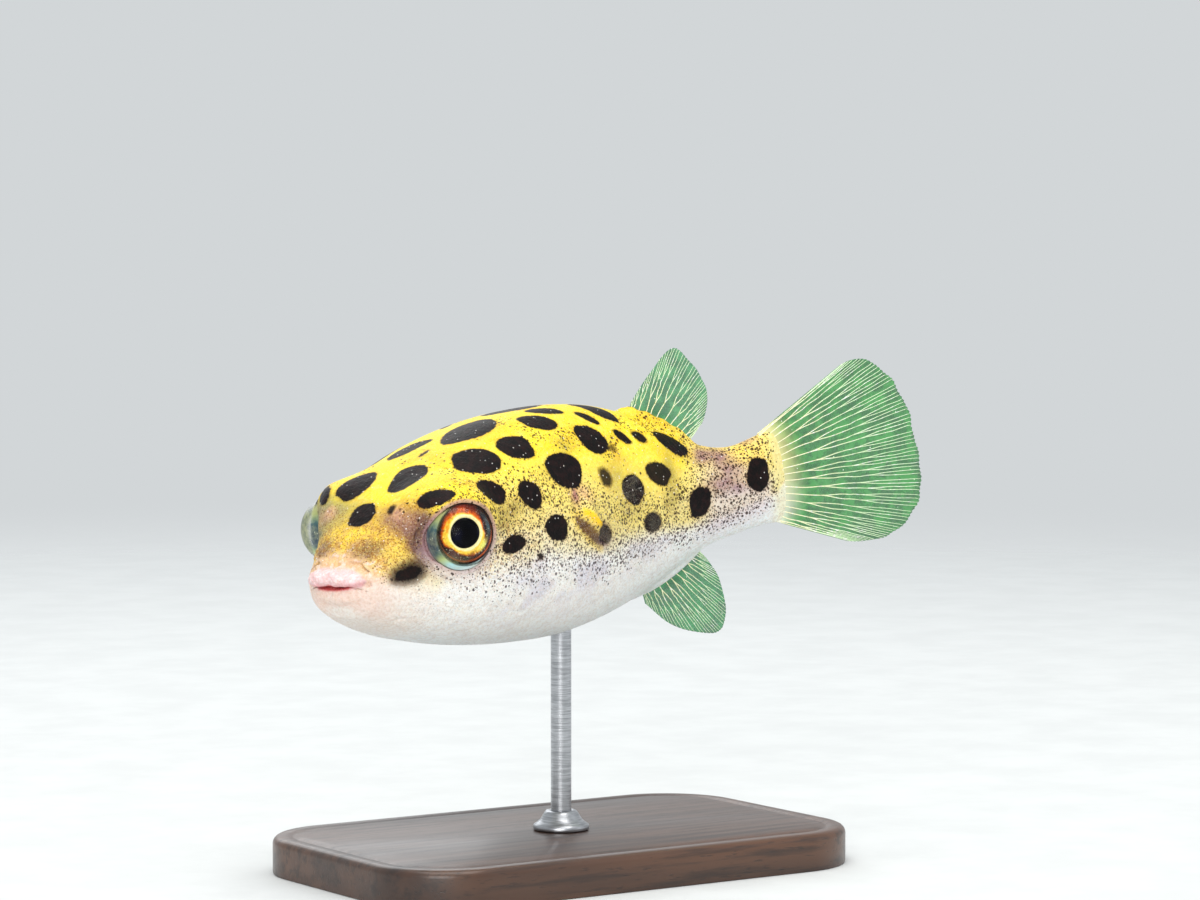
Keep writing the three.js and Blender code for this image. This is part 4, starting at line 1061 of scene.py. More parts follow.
# one chart for the whole skin: along the body and round it, with its seam under the belly
ring_of = np.zeros(len(points))
turn_of = np.zeros(len(points))
ring_of[1:-1] = 1 + np.repeat(np.arange(RINGS), ACROSS)
turn_of[1:-1] = np.tile(np.arange(ACROSS), RINGS)
ring_of[-1] = RINGS + 1
line = points[1 + ACROSS // 4 + ACROSS * np.arange(RINGS)]
length = np.concatenate([[0, 0.1], 0.1 + np.cumsum(np.linalg.norm(np.diff(line, axis=0), axis=1)), [0]])
length[-1] = length[-2] + 0.2
u_of = 0.01 + 0.98 * length[ring_of.astype(int)] / length[-1]
uv = skin.data.uv_layers.new(name="OFBake")
loops = np.array([l.vertex_index for l in skin.data.loops])
corner_u, corner_v = u_of[loops], turn_of[loops] / ACROSS
for poly in skin.data.polygons:
    k = list(poly.loop_indices)
    v = corner_v[k]
    pole = [j for j in k if loops[j] in (0, len(points) - 1)]
    rest = [j for j in k if loops[j] not in (0, len(points) - 1)]
    if max(corner_v[rest]) - min(corner_v[rest]) > 0.5:
        for j in rest:
            if corner_v[j] < 0.25:
                corner_v[j] += 1
    for j in pole:
        corner_v[j] = sum(corner_v[r] for r in rest) / len(rest)
uv.data.foreach_set("uv", np.stack([corner_u, 0.01 + 0.98 * corner_v], 1).ravel())
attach(skin, "root")
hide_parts("head", "trunk", "tail", "lip_upper", "lip_lower")


# ------------------------------------------------------------------ the eyes
def eye_material():
    t = Nodes("pufferfish_eye")
    at = t.attribute("eye_mm", "Vector")
    tone = t.attribute("tone", "Color")
    fleck = t.noise(at, 6.0, 4, 0.65)
    colour = t.mix(t.ramp(fleck, 0.42, 0.7, 0.0, 0.42), tone, t.mix(1.0, tone, rgba(206, 150, 84), "MULTIPLY"))
    # painted glints: near-white specks painted into the iris, strongest towards its lower half
    bright = t.cells(at, 3.6)
    colour = t.mix(t.math("MULTIPLY", t.ramp(bright.outputs["Distance"], 0.08, 0.3, 1.0, 0.0), t.math("MULTIPLY", t.attribute("iris_glint_paint"), 0.55)),
                   colour, rgba(255, 250, 214))
    normal = t.bump(t.noise(at, 5.0, 3, 0.6), 0.00008, 0.6)
    rough = t.ramp(fleck, 0.3, 0.7, 0.36, 0.50)
    p = t.principled(Base_Color=colour, Roughness=rough, Normal=normal)
    p.inputs["Specular IOR Level"].default_value = 0.12
    t.link(p.outputs[0], t.out.inputs[0])
    return t.material


def pupil_material():
    """The lens behind the pupil: black with a faint blue depth and a few pale specks, which are painted glints."""
    t = Nodes("pufferfish_pupil")
    at = t.attribute("eye_mm", "Vector")
    deep = t.mix(t.ramp(t.noise(at, 0.6, 2, 0.5), 0.45, 0.65), rgba(1, 1, 3), rgba(4, 6, 26))
    pupil_glint_paint = t.cells(at, 1.0)
    colour = t.mix(t.math("MULTIPLY", t.ramp(pupil_glint_paint.outputs["Distance"], 0.035, 0.075, 1.0, 0.0), 0.7), deep, rgba(150, 150, 206))
    p = t.principled(Base_Color=colour, Roughness=0.3)
    p.inputs["Specular IOR Level"].default_value = 0.04
    t.link(p.outputs[0], t.out.inputs[0])
    return t.material


def cornea_material():
    """Clear over the iris; a tinted film where the ball shows ahead of the iris, with painted glints in it, and a paler
    one at a slant.
    """
    t = Nodes("pufferfish_cornea")
    at = t.attribute("eye_mm", "Vector")
    clear = t.add("BsdfTransparent")
    clear.inputs["Color"].default_value = (1, 1, 1, 1)
    gloss = t.add("BsdfGlossy")
    gloss.inputs["Roughness"].default_value = 0.06
    gloss.inputs["Color"].default_value = (1, 1, 1, 1)
    t.link(t.bump(t.noise(at, 0.8, 2, 0.5), 0.00006, 0.3), gloss.inputs["Normal"])
    fresnel = t.add("Fresnel")
    fresnel.inputs["IOR"].default_value = 1.30
    mottle = t.ramp(t.noise(at, 1.3, 4, 0.65), 0.34, 0.66)
    veil = t.mix(mottle, rgba(86, 98, 70), rgba(146, 150, 104))
    # painted glints: near-white specks painted into the film
    glints = t.cells(at, 2.2)
    painted = t.mix(t.math("MULTIPLY", mottle, 0.30), t.attribute("tone", "Color"), rgba(190, 200, 160))
    painted = t.mix(t.ramp(glints.outputs["Distance"], 0.06, 0.16, 0.8, 0.0), painted, rgba(246, 250, 226))
    fixed = t.attribute("film")
    graze = t.add("LayerWeight")
    graze.inputs["Blend"].default_value = 0.5
    slant = t.math("MULTIPLY", t.ramp(graze.outputs["Facing"], 0.12, 0.55, 0.0, 0.92), t.attribute("veil"))
    body = t.principled(Base_Color=t.mix(fixed, veil, painted), Roughness=0.35)
    body.inputs["Specular IOR Level"].default_value = 0.3
    inner = t.add("MixShader")
    t.link(t.math("MAXIMUM", fixed, slant), inner.inputs[0])
    t.link(clear.outputs[0], inner.inputs[1])
    t.link(body.outputs[0], inner.inputs[2])
    both_ = t.add("MixShader")
    t.link(t.math("MINIMUM", t.math("MULTIPLY", fresnel.outputs[0], 0.25), 0.022), both_.inputs[0])
    t.link(inner.outputs[0], both_.inputs[1])
    t.link(gloss.outputs[0], both_.inputs[2])
    t.link(both_.outputs[0], t.out.inputs[0])
    return t.material


def dome(profile, around):
    """Points (ahead, up, out) and faces of a shape turned about the eye's axis; the last point of the profile is on it."""
    angles = 2 * math.pi * np.arange(around) / around
    rows = [np.stack([r * np.cos(angles), r * np.sin(angles), np.full(around, h)], 1) for r, h in profile[:-1]]
    pts = np.concatenate(rows + [np.array([[0, 0, profile[-1][1]]])])
    out = []
    for k in range(len(profile) - 2):
        for i in range(around):
            j = (i + 1) % around
            out.append((k * around + i, k * around + j, (k + 1) * around + j, (k + 1) * around + i))
    k = (len(profile) - 2) * around
    out += [(k + i, k + (i + 1) % around, len(pts) - 1) for i in range(around)]
    return pts, out


IRIS_RADIUS, IRIS_HEIGHT, PUPIL = 3.12, 1.42, 1.62
SHIFT = (-0.06, 0.21)  # where the iris sits in the ball, ahead and up


def make_eye(side, label):
    c, axis, fwd, up = EYES[side]
    ball = EYE["radius"] - 0.10
    profile = []
    for k in range(14):                                    # the white of the eye, up to the rim of the iris
        h = -0.40 + (IRIS_HEIGHT + 0.40) * k / 13
        profile.append((math.sqrt(max(0.0, ball ** 2 - h * h)) * (1 - 0.045 * smooth(0.2, 1.5, h)), h))
    profile += [(IRIS_RADIUS + 0.02, IRIS_HEIGHT + 0.07), (IRIS_RADIUS - 0.06, IRIS_HEIGHT + 0.10)]
    for k in range(1, 25):                                 # the iris, a low cone with a rolled inner edge
        r = IRIS_RADIUS - 0.06 + (PUPIL - IRIS_RADIUS + 0.06) * k / 24
        roll = 0.10 * math.exp(-((r - PUPIL - 0.16) / 0.14) ** 2)
        profile.append((r, IRIS_HEIGHT + 0.10 + 0.16 * (IRIS_RADIUS - r) / (IRIS_RADIUS - PUPIL) + roll))
    profile.append((PUPIL - 0.05, IRIS_HEIGHT + 0.16))
    for k in range(12):                                    # the lens fills the pupil
        r = (PUPIL - 0.06) * (1 - (k + 1) / 12)
        profile.append((r, IRIS_HEIGHT + 0.14 + 0.46 * math.sqrt(1 - (r / (PUPIL - 0.05)) ** 2)))
    around = 144
    local, quads = dome(profile, around)
    r, a = np.hypot(local[:, 0], local[:, 1]), np.arctan2(local[:, 1], local[:, 0])
    h = local[:, 2]
    moved = local.copy()
    follow = smooth(0.0, 1.2, h)
    moved[:, 0] += SHIFT[0] * follow
    moved[:, 1] += SHIFT[1] * follow
    # slightly uneven iris relief and pupil outline
    q = np.stack([local[:, 0], local[:, 1], h * 0 + 3 * side], 1)
    moved[:, 2] += 0.05 * (fractal(q, 1.4, 31) - 0.5) * (r < IRIS_RADIUS - 0.1) * (r > PUPIL + 0.05)
    wob = 1 + 0.018 * np.cos(2 * a + 0.6) + 0.012 * np.cos(3 * a + 2.0)
    inner = smooth(IRIS_RADIUS, PUPIL, r) * (h > IRIS_HEIGHT)
    moved[:, 0] *= 1 + (wob - 1) * inner
    moved[:, 1] *= 1 + (wob - 1) * inner
    world = c + np.outer(moved[:, 0], fwd) + np.outer(moved[:, 1], up) + np.outer(moved[:, 2], axis)

    # colours of the iris by radius and direction; a = 0 is ahead, 90 degrees is up
    n = fractal(q, 1.1, 41)
    nn = fractal(q, 2.8, 42)
    t = np.clip((r - PUPIL) / (IRIS_RADIUS - PUPIL), 0, 1.2)
    tj = t + 0.20 * (n - 0.5) + 0.12 * (nn - 0.5)
    ahead, above = np.cos(a), np.sin(a)
    deg = np.degrees(a)
    at_deg = [-180, -150, -120, -90, -60, -40, -20, 0, 30, 60, 90, 120, 150, 180]
    pale_to = np.interp(deg, at_deg, [.19, .17, .18, .20, .14, .11, .12, .14, .14, .16, .20, .20, .19, .19])
    gold_to = np.interp(deg, at_deg, [.21, .44, .54, .46, .34, .28, .48, .54, .48, .38, .32, .26, .22, .21])
    dark_from = np.interp(deg, at_deg, [.30, .50, .62, .56, .42, .34, .60, .68, .72, .78, .86, .78, .46, .30])
    col = np.tile(np.array([255.0, 244, 176]), (len(r), 1))
    col = blend(col, (255, 214, 70), smooth(-0.05, 0.08, tj - pale_to))
    blotch = smooth(0.50, 0.66, nn) * smooth(0.0, 0.1, tj - pale_to) * smooth(-0.5, 0.3, ahead + 0.6 * above)
    col = blend(col, (242, 138, 20), 0.85 * blotch)
    orange = smooth(-0.08, 0.08, tj - gold_to)
    col = blend(col, (218, 94, 6), orange)
    middle_ = (tj - gold_to) / (dark_from - gold_to + 0.02)
    col = blend(col, (116, 28, 4), smooth(0.30, 0.85, middle_) * (0.4 + 0.6 * smooth(-0.5, 0.4, above)))
    col = blend(col, (22, 8, 12), smooth(-0.09, 0.07, tj - dark_from))
    streaks = fractal(np.stack([6 * ahead, 6 * above, 1.5 * t + 2 * side], 1), 1.0, 61)
    col = blend(col, (84, 24, 8), 0.62 * smooth(0.50, 0.64, streaks) * smooth(0.22, 0.48, tj))
    bronze = np.exp(-(((a - math.radians(-50) + math.pi) % (2 * math.pi) - math.pi) / 0.36) ** 2) * smooth(0.26, 0.42, tj) * (1 - smooth(0.74, 0.86, t))
    col = blend(col, (92, 64, 62), 0.85 * bronze * (0.5 + n))
    rust = np.exp(-((t - 0.84) / 0.06) ** 2) * smooth(-0.1, 0.6, -above + 0.1)
    col = blend(col, (176, 84, 38), 0.85 * rust * (0.6 + n))
    # behind the pupil the outer ring carries a dull teal band, a painted reflection, with a bright greenish-gold patch
    # below it, a painted glint
    teal = np.exp(-(((a - math.radians(176) + math.pi) % (2 * math.pi) - math.pi) / 0.50) ** 2) * smooth(0.46, 0.58, t) * (1 - smooth(0.74, 0.84, t))
    col = blend(col, (60, 84, 92), 0.90 * teal)
    green = np.exp(-(((a - math.radians(-136) + math.pi) % (2 * math.pi) - math.pi) / 0.34) ** 2) * smooth(0.22, 0.34, t) * (1 - smooth(0.56, 0.72, t))
    col = blend(col, (222, 226, 110), 0.95 * green)
    col = blend(col, (22, 8, 12), smooth(0.90, 0.97, t))
    # the white of the eye, dark against the iris
    white_ = (h <= IRIS_HEIGHT + 0.03)
    w = np.tile(np.array([44.0, 30, 34]), (len(r), 1))
    w = blend(w, (196, 224, 226), 0.9 * smooth(0.35, 0.8, -above) * smooth(-0.9, -0.3, ahead) * (1 - smooth(IRIS_HEIGHT - 0.5, IRIS_HEIGHT - 0.2, h)))
    w = blend(w, (22, 9, 12), smooth(IRIS_HEIGHT - 0.42, IRIS_HEIGHT - 0.16, h))
    col = np.where(white_[:, None], w, col)
    hole = (r < PUPIL - 0.02) & (h > IRIS_HEIGHT)
    ring_of_face = [h[f[0]] > IRIS_HEIGHT and r[f[0]] < PUPIL - 0.01 for f in quads]
    ball_obj = new_object(f"eye_ball_{label}", world, quads if side < 0 else [tuple(reversed(f)) for f in quads], [eye_material_, pupil_material_],
                          face_material=[int(v) for v in ring_of_face])
    point_vector(ball_obj, "eye_mm", local)
    point_colour(ball_obj, "tone", np.clip(col, 0, 255))
    # how much painted glint the iris carries at each point
    point_number(ball_obj, "iris_glint_paint", (~hole & ~white_) * (1 - smooth(0.6, 0.85, t)) * (0.3 + 0.7 * smooth(-0.2, 0.6, -above)))

    # the clear dome over it
    shell = EYE["radius"] + 0.03
    steps = 40
    start = math.asin(0.02 / shell)
    profile = [(shell * math.cos(start + (math.pi / 2 - start) * k / steps), shell * math.sin(start + (math.pi / 2 - start) * k / steps)) for k in range(steps + 1)]
    local, quads = dome(profile, 96)
    world = c + np.outer(local[:, 0], fwd) + np.outer(local[:, 1], up) + np.outer(local[:, 2], axis)
    cornea = new_object(f"eye_cornea_{label}", world, quads if side < 0 else [tuple(reversed(f)) for f in quads], [cornea_material_])
    point_vector(cornea, "eye_mm", local)
    a, h = np.arctan2(local[:, 1], local[:, 0]), local[:, 2]
    deg = np.degrees(a)
    sector = smooth(-0.20, 0.30, np.cos(a + 0.35))                    # from above the front to below the middle
    film = smooth(1.86, 1.62, h) * sector * 0.94
    point_number(cornea, "film", film)
    level = (1 - smooth(1.6, 3.0, np.abs(local[:, 1])) * (1 - smooth(1.0, 2.6, local[:, 0])))
    point_number(cornea, "veil", smooth(-0.2, 1.3, local[:, 0]) * level)
    n = fractal(local, 0.9, 51)
    shade = np.interp(deg + 16 * (n - 0.5), [-180, -110, -80, -52, -36, -18, 6, 24, 40, 60, 100, 180], np.arange(12))
    table = np.array([[240, 244, 238], [240, 248, 244], [216, 246, 252], [184, 238, 246], [190, 206, 120], [30, 64, 92], [18, 42, 72], [54, 92, 96],
                      [150, 158, 84], [176, 176, 120], [120, 96, 96], [120, 96, 96]], float)
    paint = np.stack([np.interp(shade, np.arange(12), table[:, k]) for k in range(3)], 1)
    paint = blend(paint, (150, 146, 150), 0.55 * smooth(0.75, 0.30, h) * smooth(-0.2, 0.6, np.cos(a)))
    point_colour(cornea, "tone", paint)
    for piece in (ball_obj, cornea):
        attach(piece, "root")
        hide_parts(f"eye_{label}")


eye_material_, pupil_material_, cornea_material_ = eye_material(), pupil_material(), cornea_material()
make_eye(-1, "left")
make_eye(1, "right")


# ------------------------------------------------------------------ the fins
def membrane_material(name, low, high, alpha, foot, foot_end, reach=0.22):
    """foot and foot_end are the colours along the fin's root, from its first ray to its last."""
    t = Nodes(name)
    at = t.attribute("fin_mm", "Vector")
    fan = t.attribute("fan", "Vector")     # across, along, nearness of a ray
    parts = t.add("SeparateXYZ")
    t.link(fan, parts.inputs[0])
    n = t.noise(at, 0.7, 3, 0.6)
    colour = t.mix(t.ramp(n, 0.35, 0.65), low, high)
    colour = t.mix(t.ramp(t.noise(at, 4.0, 3, 0.6), 0.5, 0.75, 0.0, 0.14), colour, rgba(176, 214, 184))
    colour = t.mix(t.ramp(parts.outputs[1], 0.35 * reach - 0.05, reach, 1.0, 0.0), colour, t.mix(t.ramp(parts.outputs[0], 0.35, 0.85), foot, foot_end))
    # painted glints: near-white specks painted into the membrane's colour, which also make it more opaque there
    glint = t.cells(at, 1.7)
    pick = t.add("SeparateColor")
    t.link(glint.outputs["Color"], pick.inputs[0])
    painted_glint = t.math("MULTIPLY", t.ramp(glint.outputs["Distance"], 0.05, 0.13, 1.0, 0.0), t.ramp(pick.outputs[0], 0.18, 0.2, 1.0, 0.0))
    colour = t.mix(painted_glint, colour, rgba(250, 252, 244))
    normal = t.bump(t.noise(at, 2.4, 3, 0.6), 0.0001, 0.5)
    p = t.principled(Base_Color=colour, Roughness=0.38, Normal=normal)
    p.inputs["Specular IOR Level"].default_value = 0.4
    a = t.math("ADD", alpha, t.ramp(parts.outputs[1], 0.0, 0.35, 0.4, 0.0))
    a = t.math("ADD", a, t.math("MULTIPLY", t.math("SUBTRACT", n, 0.5), 0.25))
    a = t.math("ADD", a, t.math("MULTIPLY", painted_glint, 0.4), clamp=True)
    t.link(a, p.inputs["Alpha"])
    t.link(p.outputs[0], t.out.inputs[0])
    return t.material


def ray_material(name, base, tip, alpha=1.0):
    t = Nodes(name)
    at = t.attribute("fin_mm", "Vector")
    fan = t.attribute("fan", "Vector")
    parts = t.add("SeparateXYZ")
    t.link(fan, parts.inputs[0])
    colour = t.mix(t.ramp(parts.outputs[1], 0.05, 0.8), base, tip)
    # the rays are jointed: short bony pieces with a darker line between them
    joints = t.math("FRACT", t.math("MULTIPLY", parts.outputs[2], 2.2))
    ringed = t.math("MULTIPLY", t.ramp(joints, 0.0, 0.16, 1.0, 0.0), 0.25)
    colour = t.mix(ringed, colour, t.mix(1.0, colour, rgba(150, 150, 96), "MULTIPLY"))
    # near-white patches along the rays, laid by noise: painted highlights
    colour = t.mix(t.ramp(t.noise(at, 2.4, 3, 0.6), 0.52, 0.64, 0.0, 0.90), colour, rgba(252, 252, 244))
    normal = t.bump(t.noise(at, 6.0, 2, 0.6), 0.00005, 0.5)
    p = t.principled(Base_Color=colour, Roughness=0.32, Normal=normal)
    p.inputs["Specular IOR Level"].default_value = 0.5
    p.inputs["Alpha"].default_value = alpha
    t.link(p.outputs[0], t.out.inputs[0])
    return t.material


def spline(points_, n):
    """n points along a smooth curve through a few points, evenly by parameter."""
    pts = np.array(points_, float)
    ext = np.vstack([2 * pts[0] - pts[1], pts, 2 * pts[-1] - pts[-2]])
    out = []
    for v in np.linspace(0, len(pts) - 1, n):
        i = min(int(v), len(pts) - 2)
        u = v - i
        p0, p1, p2, p3 = ext[i:i + 4]
        out.append(0.5 * ((2 * p1) + (-p0 + p2) * u + (2 * p0 - 5 * p1 + 4 * p2 - p3) * u * u + (-p0 + 3 * p1 - 3 * p2 + p3) * u ** 3))
    return np.array(out)


def make_fin(name, nodes, place_at, rays, seed, thick, materials, across=150, along_=34, spread=0.9, ripple=0.25, splits=(0.34, 0.62, 0.82),
             ray_width=0.15, start=0.0, ragged=0.02, edge_rays=0.012, thin=0.5, slim=0.0):
    """place_at(u, v, w): u across the fan, v along it, w mm off its middle plane, to the model's frame in mm."""
    r = np.random.default_rng(seed)
    # branching rays as lines in (u, v)
    lines, widths = [], []
    step = 1.0 / rays

    def grow(u0, v0, half, level, width):
        """A stretch of ray from v0, which then splits in two."""
        v1 = 1.0 if level >= len(splits) else splits[level] + r.uniform(-0.055, 0.055)
        if v1 <= v0 + 0.03:
            v1 = v0 + 0.03
        n = max(4, int((v1 - v0) * 30))
        v = np.linspace(v0, v1, n)
        sway = r.uniform(-0.30, 0.30) * step * half
        u = u0 + sway * np.sin(np.linspace(0, math.pi * r.choice([1.0, 2.0]), n))
        lines.append((u, v))
        widths.append(width * (1 - 0.45 * np.linspace(0, 1, n)) if level >= len(splits) else np.linspace(width, width * 0.78, n))
        if level < len(splits):
            for sign in (-1, 1):
                reach = half * 0.5
                tail = 0.16 + r.uniform(-0.03, 0.03)
                k = 6
                vv = np.linspace(v1, min(1.0, v1 + tail), k)
                uu = u[-1] + sign * reach * step * smooth(0, 1, np.linspace(0, 1, k))
                if vv[-1] < 1.0 - 1e-6:
                    lines.append((uu, vv))
                    widths.append(np.linspace(width * 0.76, width * 0.72, k))
                    grow(uu[-1], vv[-1], reach, level + 1, width * 0.72)
                else:
                    lines.append((uu, vv))
                    widths.append(np.linspace(width * 0.72, width * 0.4, k))

    for k in range(rays):
        grow((k + 0.5) * step + r.uniform(-0.08, 0.08) * step, start, spread * 0.5, 0, ray_width * r.uniform(0.9, 1.1))
    for u in (edge_rays, 1 - edge_rays):
        n = 24
        lines.append((np.full(n, u), np.linspace(start, 0.985, n)))
        widths.append(np.linspace(ray_width * 0.65, ray_width * 0.3, n))

    def wave(u, v):
        return ripple * v * (np.sin(u * 2 * math.pi * 1.3 + seed) * 0.6 + np.sin(u * 2 * math.pi * rays / 2 + 2 * seed) * 0.16 * v)

    def thickness(u, v):
        """Half the thickness of the membrane, less towards the first and last rays."""
        full = 0.5 * (thick[0] + (thick[1] - thick[0]) * np.clip((v - start) / (1 - start), 0, 1) ** thin)
        return full * (1 - slim * np.abs(2 * u - 1) ** 3 * (1 - np.clip(v, 0, 1)))

    def margin(u):
        fine = 0.5 - 0.5 * np.cos(2 * math.pi * u * rays * 4)
        return 1 - ragged * (0.45 * fine + 0.9 * noise(np.stack([u * rays * 1.3, u * 0, u * 0 + seed], 1), 1.0, seed)) - 0.004

    # the membrane: two faces that meet at the margin
    uu, vv = np.meshgrid(np.linspace(0, 1, across + 1), np.linspace(0, 1, along_ + 1), indexing="ij")
    u, v = uu.ravel(), vv.ravel()
    v = start + (margin(u) - start) * v
    half = thickness(u, v)
    pts, fans = [], []
    for sign in (-1, 1):
        pts.append(place_at(u, v, wave(u, v) + sign * half))
        fans.append(np.stack([u, v, 0 * u], 1))
    count = len(u)
    grid = np.arange(count).reshape(across + 1, along_ + 1)
    quads = []
    a, b, c, d = grid[:-1, :-1], grid[1:, :-1], grid[1:, 1:], grid[:-1, 1:]
    quads += np.stack([a, b, c, d], -1).reshape(-1, 4).tolist()
    quads += (count + np.stack([d, c, b, a], -1).reshape(-1, 4)).tolist()
    border = list(grid[:, -1]) + list(grid[-1, ::-1][1:]) + list(grid[::-1, 0][1:]) + list(grid[0, :][1:-1])
    for i in range(len(border)):
        p_, q_ = border[i], border[(i + 1) % len(border)]
        quads.append((p_, q_, q_ + count, p_ + count))
    web = len(quads)
    total = 2 * count

    # the rays: slim tubes along those lines
    sides = 6
    ray_quads = []
    for (lu, lv), width in zip(lines, widths):
        lv = np.minimum(lv, margin(lu) - 0.004)
        keep = np.concatenate([[True], np.diff(lv) > 1e-4])
        lu, lv, width = lu[keep], lv[keep], width[keep]
        if len(lu) < 3:
            continue
        centre = place_at(lu, lv, wave(lu, lv))
        off = place_at(lu, lv, wave(lu, lv) + 0.1) - centre
        off /= np.linalg.norm(off, axis=1, keepdims=True)
        tangent = np.gradient(centre, axis=0)
        tangent /= np.linalg.norm(tangent, axis=1, keepdims=True)
        sideways = np.cross(tangent, off)
        run = np.concatenate([[0], np.cumsum(np.linalg.norm(np.diff(centre, axis=0), axis=1))]) + lv[0] * 12
        first = total
        for k in range(sides):
            t = 2 * math.pi * k / sides
            pts.append(centre + off * (math.sin(t) * (thickness(lu, lv)[:, None] + 0.07)) + sideways * (math.cos(t) * width[:, None] * 0.5))
            fans.append(np.stack([lu, lv, run], 1))
        m_ = len(lu)
        total += sides * m_
        for k in range(sides):
            n_ = (k + 1) % sides
            for j in range(m_ - 1):
                ray_quads.append((first + k * m_ + j, first + n_ * m_ + j, first + n_ * m_ + j + 1, first + k * m_ + j + 1))
        ray_quads.append(tuple(first + k * m_ for k in range(sides))[::-1])
        ray_quads.append(tuple(first + k * m_ + m_ - 1 for k in range(sides)))
    pts, fans = np.concatenate(pts), np.concatenate(fans)
    obj = new_object(name, pts, quads + ray_quads, materials, face_material=[0] * web + [1] * len(ray_quads))
    point_vector(obj, "fin_mm", pts)
    point_vector(obj, "fan", fans)
    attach(obj, "root")
    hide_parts(*nodes)
    return obj


web_back = membrane_material("dorsal_membrane", rgba(30, 120, 66), rgba(84, 166, 106), 0.62, rgba(240, 214, 96), rgba(238, 218, 110))
web_belly = membrane_material("anal_membrane", rgba(22, 112, 62), rgba(62, 152, 92), 0.66, rgba(232, 236, 226), rgba(214, 228, 206))
web_tail = membrane_material("caudal_membrane", rgba(24, 112, 46), rgba(72, 162, 80), 0.66, rgba(232, 222, 156), rgba(232, 234, 214), 0.29)
web_clear = membrane_material("pectoral_membrane", rgba(150, 138, 118), rgba(176, 164, 144), 0.025, rgba(226, 214, 160), rgba(226, 214, 170))
bone = ray_material("fin_rays", rgba(252, 244, 200), rgba(214, 238, 196))
bone_clear = ray_material("pectoral_rays", rgba(190, 160, 96), rgba(172, 160, 118), 0.05)


def fan_between(foot, edge_curve):
    a, b = np.array(foot[0], float), np.array(foot[1], float)
    grid = np.linspace(0, 1, len(edge_curve))

    def at(u, v, w):
        es, ez = np.interp(u, grid, edge_curve[:, 0]), np.interp(u, grid, edge_curve[:, 1])
        fs, fz = a[0] + (b[0] - a[0]) * u, a[1] + (b[1] - a[1]) * u
        return place(fs + (es - fs) * v, w, fz + (ez - fz) * v)
    return at


dorsal_edge = spline([[42.9, 12.6], [45.6, 15.6], [48.4, 17.7], [50.2, 16.0], [51.5, 13.6], [51.7, 11.6], [50.9, 9.4], [49.5, 7.9]], 120)
make_fin("dorsal_fin_fan", ["dorsal_fin"], fan_between([[42.1, 10.6], [48.6, 7.0]], dorsal_edge), 11, 3, (0.34, 0.05), [web_back, bone],
         across=110, splits=(0.34, 0.60), ray_width=0.17, ripple=0.3, thin=0.35)
anal_edge = spline([[41.4, -9.3], [44.2, -12.2], [47.4, -13.7], [49.9, -14.0], [50.7, -11.6], [50.4, -8.4], [49.4, -6.1], [48.5, -4.8]], 120)
make_fin("anal_fin_fan", ["anal_fin"], fan_between([[41.2, -7.0], [47.6, -3.6]], anal_edge), 11, 5, (0.34, 0.05), [web_belly, bone],
         across=110, splits=(0.26, 0.54), ray_width=0.19, ripple=0.3, thin=0.35)


def evenly(curve, n):
    """n points evenly spaced along a curve."""
    run = np.concatenate([[0], np.cumsum(np.linalg.norm(np.diff(curve, axis=0), axis=1))])
    at = np.linspace(0, run[-1], n)
    return np.stack([np.interp(at, run, curve[:, k]) for k in range(curve.shape[1])], 1)


caudal_edge = evenly(spline([[67.5, 12.65], [68.7, 13.0], [70.1, 12.95], [71.4, 12.4], [72.5, 11.25], [73.6, 9.6], [74.4, 7.5], [74.9, 5.4],
                             [75.1, 3.2], [75.25, 1.2], [75.25, -0.5], [75.2, -2.0], [74.75, -3.75], [73.9, -5.1], [72.7, -6.3], [71.2, -6.95],
                             [69.5, -7.25], [67.5, -7.2], [65.8, -6.85]], 400), 240)
make_fin("caudal_fin_fan", ["caudal_fin"], fan_between([[56.8, 6.75], [57.0, -2.9]], caudal_edge), 17, 7, (2.30, 0.05), [web_tail, bone],
         across=200, along_=44, splits=(0.30, 0.60), ray_width=0.22, ripple=0.45, thin=0.22, slim=0.78)

PECTORAL = dict(s=29.6, z=4.5, low_s=30.8, low_z=1.0, sink=1.6, out=27.0, length=7.6, up=22.0, down=-52.0)


def pectoral_at(side):
    def at(u, v, w):
        f = PECTORAL
        s0, z0 = f["s"] + (f["low_s"] - f["s"]) * u, f["z"] + (f["low_z"] - f["z"]) * u
        swing = np.radians(f["up"] + (f["down"] - f["up"]) * u)
        out = math.radians(f["out"])
        reach = f["sink"] + f["length"] * (0.86 + 0.14 * np.sin(math.pi * u))
        run = v * reach - f["sink"]
        y0 = flank(s0, z0) + run * np.cos(swing) * math.sin(out)
        return place(s0 + run * np.cos(swing) * math.cos(out) - w * math.sin(out),
                     side * (y0 + w * math.cos(out)), z0 + run * np.sin(swing), at=f["s"])
    return at


for side, label in ((-1, "left"), (1, "right")):
    make_fin(f"pectoral_fin_fan_{label}", [f"pectoral_fin_{label}"], pectoral_at(side), 10, 11, (0.12, 0.04), [web_clear, bone_clear],
             across=90, along_=26, splits=(0.55,), ray_width=0.10, ripple=0.25)


